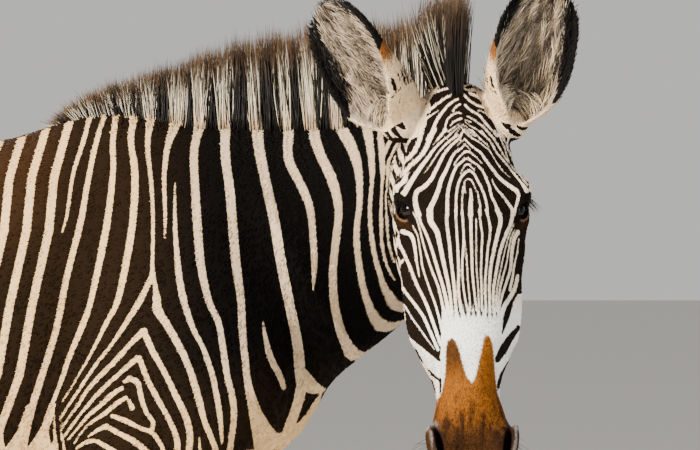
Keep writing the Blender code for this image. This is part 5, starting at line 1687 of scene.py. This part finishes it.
def mane_hair():
    """The brush of the mane, from the crest to its tips, and the forelock's fan."""
    line = curve(MANE, 8)
    length = np.concatenate([[0], np.cumsum(np.linalg.norm(np.diff(line[:, 2:4], axis=0), axis=1))])
    count = MANE_LOCKS
    spot = rng.random(count) * np.interp(MANE_END, line[:, 2], length)
    tip_x, tip_z, x, z, half = (np.interp(spot, length, line[:, k]) for k in range(5))
    across = rng.uniform(-1, 1, count)
    fore = x > FORELOCK
    root_y = across * half * rng.uniform(0.9, 1.35, count) * (1 - 0.62 * ramp(x, 0.80, 0.86))
    root = np.stack([x, root_y, z + 0.008], -1)
    tip = np.stack([tip_x, across * half * np.where(fore, 0.4, 0.8), tip_z], -1)
    reach = rng.uniform(0.86, 1.10, count) * (1 - 0.08 * across**2)
    reach = reach + np.where(rng.random(count) < 0.06, 0.10, 0)
    reach = reach + 0.05 * np.sin(spot * 95) * rng.random(count)
    tip = root + (tip - root) * reach[:, None]
    tip[:, 0] += rng.normal(0, 0.009, count) - 0.030 * ramp(-x, -0.16, 0.0)

    # Near the head the brush fans out to the right, and the forelock a little to both sides.
    fan, front = rng.random(count), ramp(x, 0.66, 0.86)
    tip[:, 1] += rng.normal(0, 0.004, count) + np.where(fore, 0.010 - 0.018 * fan, -0.070 * front * fan**1.1)
    t = np.linspace(0, 1, 5)[None, :, None]
    belly = rng.normal(0, 0.0040, (count, 1, 3)) * (1, 0.6, 0)
    centre = root[:, None] * (1 - t) + tip[:, None] * t + belly * np.sin(math.pi * t)
    centre[:, :, 1] -= (front * 0.006)[:, None] * np.sin(math.pi * t[:, :, 0])

    # Its bands carry on the neck's; nearer the head they are narrow, and last they follow the fan.
    beside = [x + rng.normal(0, 0.0015, count), np.full(count, -0.05), np.minimum(z + 0.035, 1.495)]
    mark, light, _ = markings(np.stack(beside, -1), np.tile((0.0, -1.0, 0.0), (count, 1)))
    mark = np.where(x > 0.655, bands(x / MANE_PERIOD, MANE_PERIOD, 0.17), mark)
    fanned = bands(fan * 5.5 + 0.15 + 0.10 * np.sin(spot * 60), 0.020, 0.17)
    mark = np.where(x > 0.790, fanned, mark)
    mark = np.where(fore, -WHITE, mark)
    dark = np.tile(MANE_DARK, (count, 1)) * rng.uniform(0.6, 1.8, (count, 1))
    width = rng.uniform(0.0012, 0.0025, count)
    uv = np.stack([spot / length[-1], across * 0.45 + 0.5], -1)
    material = hair_material("mane_hair", MANE_TIPS, MANE_PALE)
    made = []
    for k in range(2):
        part = slice(k * count // 2, (k + 1) * count // 2)
        values = (array[part] for array in (width, mark, light, dark, uv))
        made.append(locks(f"mane_{k + 1}", centre[part], (1.0, 0, 0), *values, material, mane=True))
    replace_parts(made[0], "mane")


def strands(name, places, count, long, width, tone, spread):
    """Single stiff hairs from small places on both sides of the head."""
    rows = []
    for middle, way, bend, span in places:
        for side in (1, -1):
            mirror = np.array((1, 1, side))
            root = head_point(*middle * mirror) + rng.uniform(-1, 1, (count, 3)) * span @ HEAD_AXES
            rows.append([root, *(np.tile(v * mirror @ HEAD_AXES, (count, 1)) for v in (way, bend))])
    root, way, bend = (np.vstack(column)[:, None] for column in zip(*rows))
    total = len(root)
    way = unit(way + rng.normal(0, spread, (total, 1, 3)))
    size = rng.uniform(0.5, 1.0, (total, 1, 1)) * long
    t = np.linspace(0, 1, 6)[None, :, None]
    centre = root + way * size * t + bend * size * t**2
    uv = np.full((total, 2), 0.5)
    locks(name, centre, (0.3, 1.0, 0), np.full(total, width), WHITE, tone, tone, uv, hair_material(name))


def tail_hair():
    """The tail's tuft: locks that start in its upper part and run down within its form."""
    line = curve(TUFT, 8)
    count, rows = TAIL_LOCKS, 7
    start = rng.uniform(0, 0.55, count) ** 1.5
    end = np.minimum(start + rng.uniform(0.35, 0.75, count), 1.0)
    turn = rng.uniform(0, 2 * math.pi, count)
    depth = np.sqrt(rng.uniform(0.05, 1.0, count))
    place = np.linspace(0, 1, len(line))
    centre = np.zeros((count, rows, 3))
    for k in range(rows):
        share = start + (end - start) * k / (rows - 1)
        rear_x, rear_z, front_x, front_z, half = (np.interp(share, place, line[:, j]) for j in range(5))
        out = depth * (0.55 + 0.45 * min(k / 2, 1))
        centre[:, k, 0] = (rear_x + front_x) / 2 + (front_x - rear_x) / 2 * np.cos(turn) * out
        centre[:, k, 1] = half * np.sin(turn) * out
        centre[:, k, 2] = (rear_z + front_z) / 2
    centre[:, :, :2] += rng.normal(0, 0.0012, (count, 1, 2)) * np.linspace(0, 1, rows)[None, :, None] ** 2 * 3
    mark = np.where(start < 0.10, np.where(rng.random(count) < 0.5, WHITE, -WHITE), -WHITE)
    uv = np.stack([turn / (2 * math.pi), start], -1)
    material = hair_material("tail_hair", TAIL_TIPS)
    width = rng.uniform(0.0018, 0.0032, count)
    piece = locks("tail_tuft_hair", centre, (1.0, 0, 0), width, mark, TAIL_LIGHT, TAIL_DARK, uv, material)
    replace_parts(piece, "tail_tuft")


# ------------------------------------------------------------------------------ stage
FLOOR_HALF = 30
FLOOR_TONE, SKY_TONE, SKY_STRENGTH = (0.62, 0.60, 0.57, 1), (0.86, 0.85, 0.83, 1), 0.70
LIGHTS = (      # name, place, diameter, power, colour
    ("key", (-3.7, -4.4, 4.2), 1.8, 1500, (1.0, 0.90, 0.76)),
    ("fill", (5.0, -4.0, 2.5), 3.5, 150, (0.94, 0.97, 1.0)),
    ("back", (0.5, 5.0, 4.5), 3.5, 260, (1.0, 0.96, 0.90)),
)
LIT_PLACE = (0.3, 0, 1.1)       # where the lights point
CAMERA_TARGET = (0.668, -0.076, 1.325)
CAMERA_DISTANCE = 9.0
CAMERA_RISE = math.radians(1.5)
VIEW_WIDTH = 1.147541           # of the view, at the target's distance
SENSOR_WIDTH = 36


def stage():
    """A plain floor, even sky light and three lamps."""
    mesh = bpy.data.meshes.new("floor")
    corners = np.array([(-1, -1, 0), (1, -1, 0), (1, 1, 0), (-1, 1, 0)]) * FLOOR_HALF
    fill_mesh(mesh, corners, np.array([[0, 1, 2, 3]]), False)
    floor = link("floor", mesh)
    mesh.materials.append(Shader("floor", Roughness=0.9, Base_Color=FLOOR_TONE).material)
    world = bpy.context.scene.world or bpy.data.worlds.new("world")
    bpy.context.scene.world = world
    world.use_nodes = True
    sky = world.node_tree.nodes["Background"].inputs
    sky["Color"].default_value, sky["Strength"].default_value = SKY_TONE, SKY_STRENGTH
    for name, place, size, power, colour in LIGHTS:
        data = bpy.data.lights.new(name, "AREA")
        data.shape, data.size, data.energy, data.color = "DISK", size, power, colour
        lamp = link(name, data)
        lamp.location = place
        lamp.rotation_euler = (Vector(LIT_PLACE) - Vector(place)).to_track_quat("-Z", "Y").to_euler()


def camera():
    """Looks at the right flank from a little above."""
    data = bpy.data.cameras.new("camera")
    data.sensor_width = SENSOR_WIDTH
    data.lens = CAMERA_DISTANCE * SENSOR_WIDTH / VIEW_WIDTH
    data.clip_end = 100
    out = link("camera", data)
    back = Vector((0, -math.cos(CAMERA_RISE), math.sin(CAMERA_RISE)))
    out.location = Vector(CAMERA_TARGET) + back * CAMERA_DISTANCE
    out.rotation_euler = (-back).to_track_quat("-Z", "Y").to_euler()
    bpy.context.scene.camera = out


# ------------------------------------------------------------------------------ build
# The skin stands in for the nodes whose names end so.
SKIN_ENDS = ("trunk", "neck", "head", "ear_left", "ear_right", "tail_dock", "_upper", "_lower")
SKIN_NODES = [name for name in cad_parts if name.endswith(SKIN_ENDS)]
BALL_ROWS, BALL_COLUMNS = 40, 56
CORNEA = 0.055          # how far the cornea stands out, as a share of the eyeball's radius
PUPIL_LONG, PUPIL_HIGH = 0.55, 1.25     # below 1 the pupil is longer that way than a round one
BACK_OF_EYE = 2.0       # keeps the back of the eyeball clear of pupil and iris


def add_skin():
    """The skin as a piece; returns its straight points, normals and triangles."""
    mesh = skin_mesh()
    points, normals = read_points(mesh.vertices, "co"), read_points(mesh.vertex_normals, "vector")
    mark, light, dark = markings(points, normals)
    give(mesh, mark=mark, light=light, dark=dark, straight=points, mottle=muzzle_share(points))
    fore = ramp(past_seam(points), -0.03, 0.03)
    give(mesh, rough=1 - 0.75 * fore, low=ramp(-points[:, 2], -1.0, -0.8), fore=fore)
    mesh.vertices.foreach_set("co", pose(points).astype(np.float32).ravel())
    mesh.update()
    mesh.materials.append(skin_material())
    skin = place_mesh("skin", mesh)
    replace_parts(skin, *SKIN_NODES)
    mesh.calc_loop_triangles()
    corners = np.empty(len(mesh.loop_triangles) * 3, np.int32)
    mesh.loop_triangles.foreach_get("vertices", corners)
    return points, normals, corners.reshape(-1, 3)


def eyeballs():
    """Each eyeball: a ball with a cornea, in place of the solid eye."""
    rise = np.linspace(0, math.pi, BALL_ROWS + 1)[1:-1]
    turn = np.linspace(0, 2 * math.pi, BALL_COLUMNS, endpoint=False)
    rows = [(math.sin(a) * math.cos(b), math.sin(a) * math.sin(b), math.cos(a)) for a in rise for b in turn]
    ball = np.array([(0, 0, 1.0), *rows, (0, 0, -1.0)])
    last, under = len(ball) - 1, len(ball) - 1 - BALL_COLUMNS
    faces = []
    for j in range(BALL_COLUMNS):
        k = (j + 1) % BALL_COLUMNS
        faces += [(0, 1 + j, 1 + k), (last, under + k, under + j)]
        for start in range(1, under, BALL_COLUMNS):
            a, b = start + j, start + k
            faces += [(a, a + BALL_COLUMNS, b + BALL_COLUMNS), (a, b + BALL_COLUMNS, b)]
    cornea = 1 + CORNEA * ramp(ball[:, 2], 0.72, 0.95)
    across = np.hypot(ball[:, 0] * PUPIL_LONG, ball[:, 1] * PUPIL_HIGH) + BACK_OF_EYE * (ball[:, 2] < 0)
    material = eye_material()
    for name, side in (("left", 1), ("right", -1)):
        centre, axes = eye_frame(side)
        mesh = bpy.data.meshes.new("eyeball_" + name)
        points = centre + (ball * cornea[:, None] * EYEBALL) @ axes
        turned = np.array(faces) if np.linalg.det(axes) > 0 else np.array(faces)[:, ::-1]
        fill_mesh(mesh, pose(points), turned)
        give(mesh, mark=across, straight=points)
        mesh.materials.append(material)
        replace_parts(place_mesh("eyeball_" + name, mesh), "eye_" + name)


def shoe_hooves():
    """Gives the solid hooves their horn."""
    horn = hoof_material()
    for name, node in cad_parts.items():
        if name.endswith("hoof"):
            for slot in node.material_slots:
                slot.material = horn


dress(add_skin())
eyeballs()
strands("lashes", LASHES, count=70, long=0.030, width=0.0008, tone=(0.010, 0.007, 0.005), spread=0.22)
strands("whiskers", WHISKERS, count=26, long=0.046, width=0.0007, tone=(0.030, 0.022, 0.018), spread=0.35)
ear_hair("ear_hair_left", 1)
ear_hair("ear_hair_right", -1)
mane_hair()
tail_hair()
shoe_hooves()
stage()
camera()
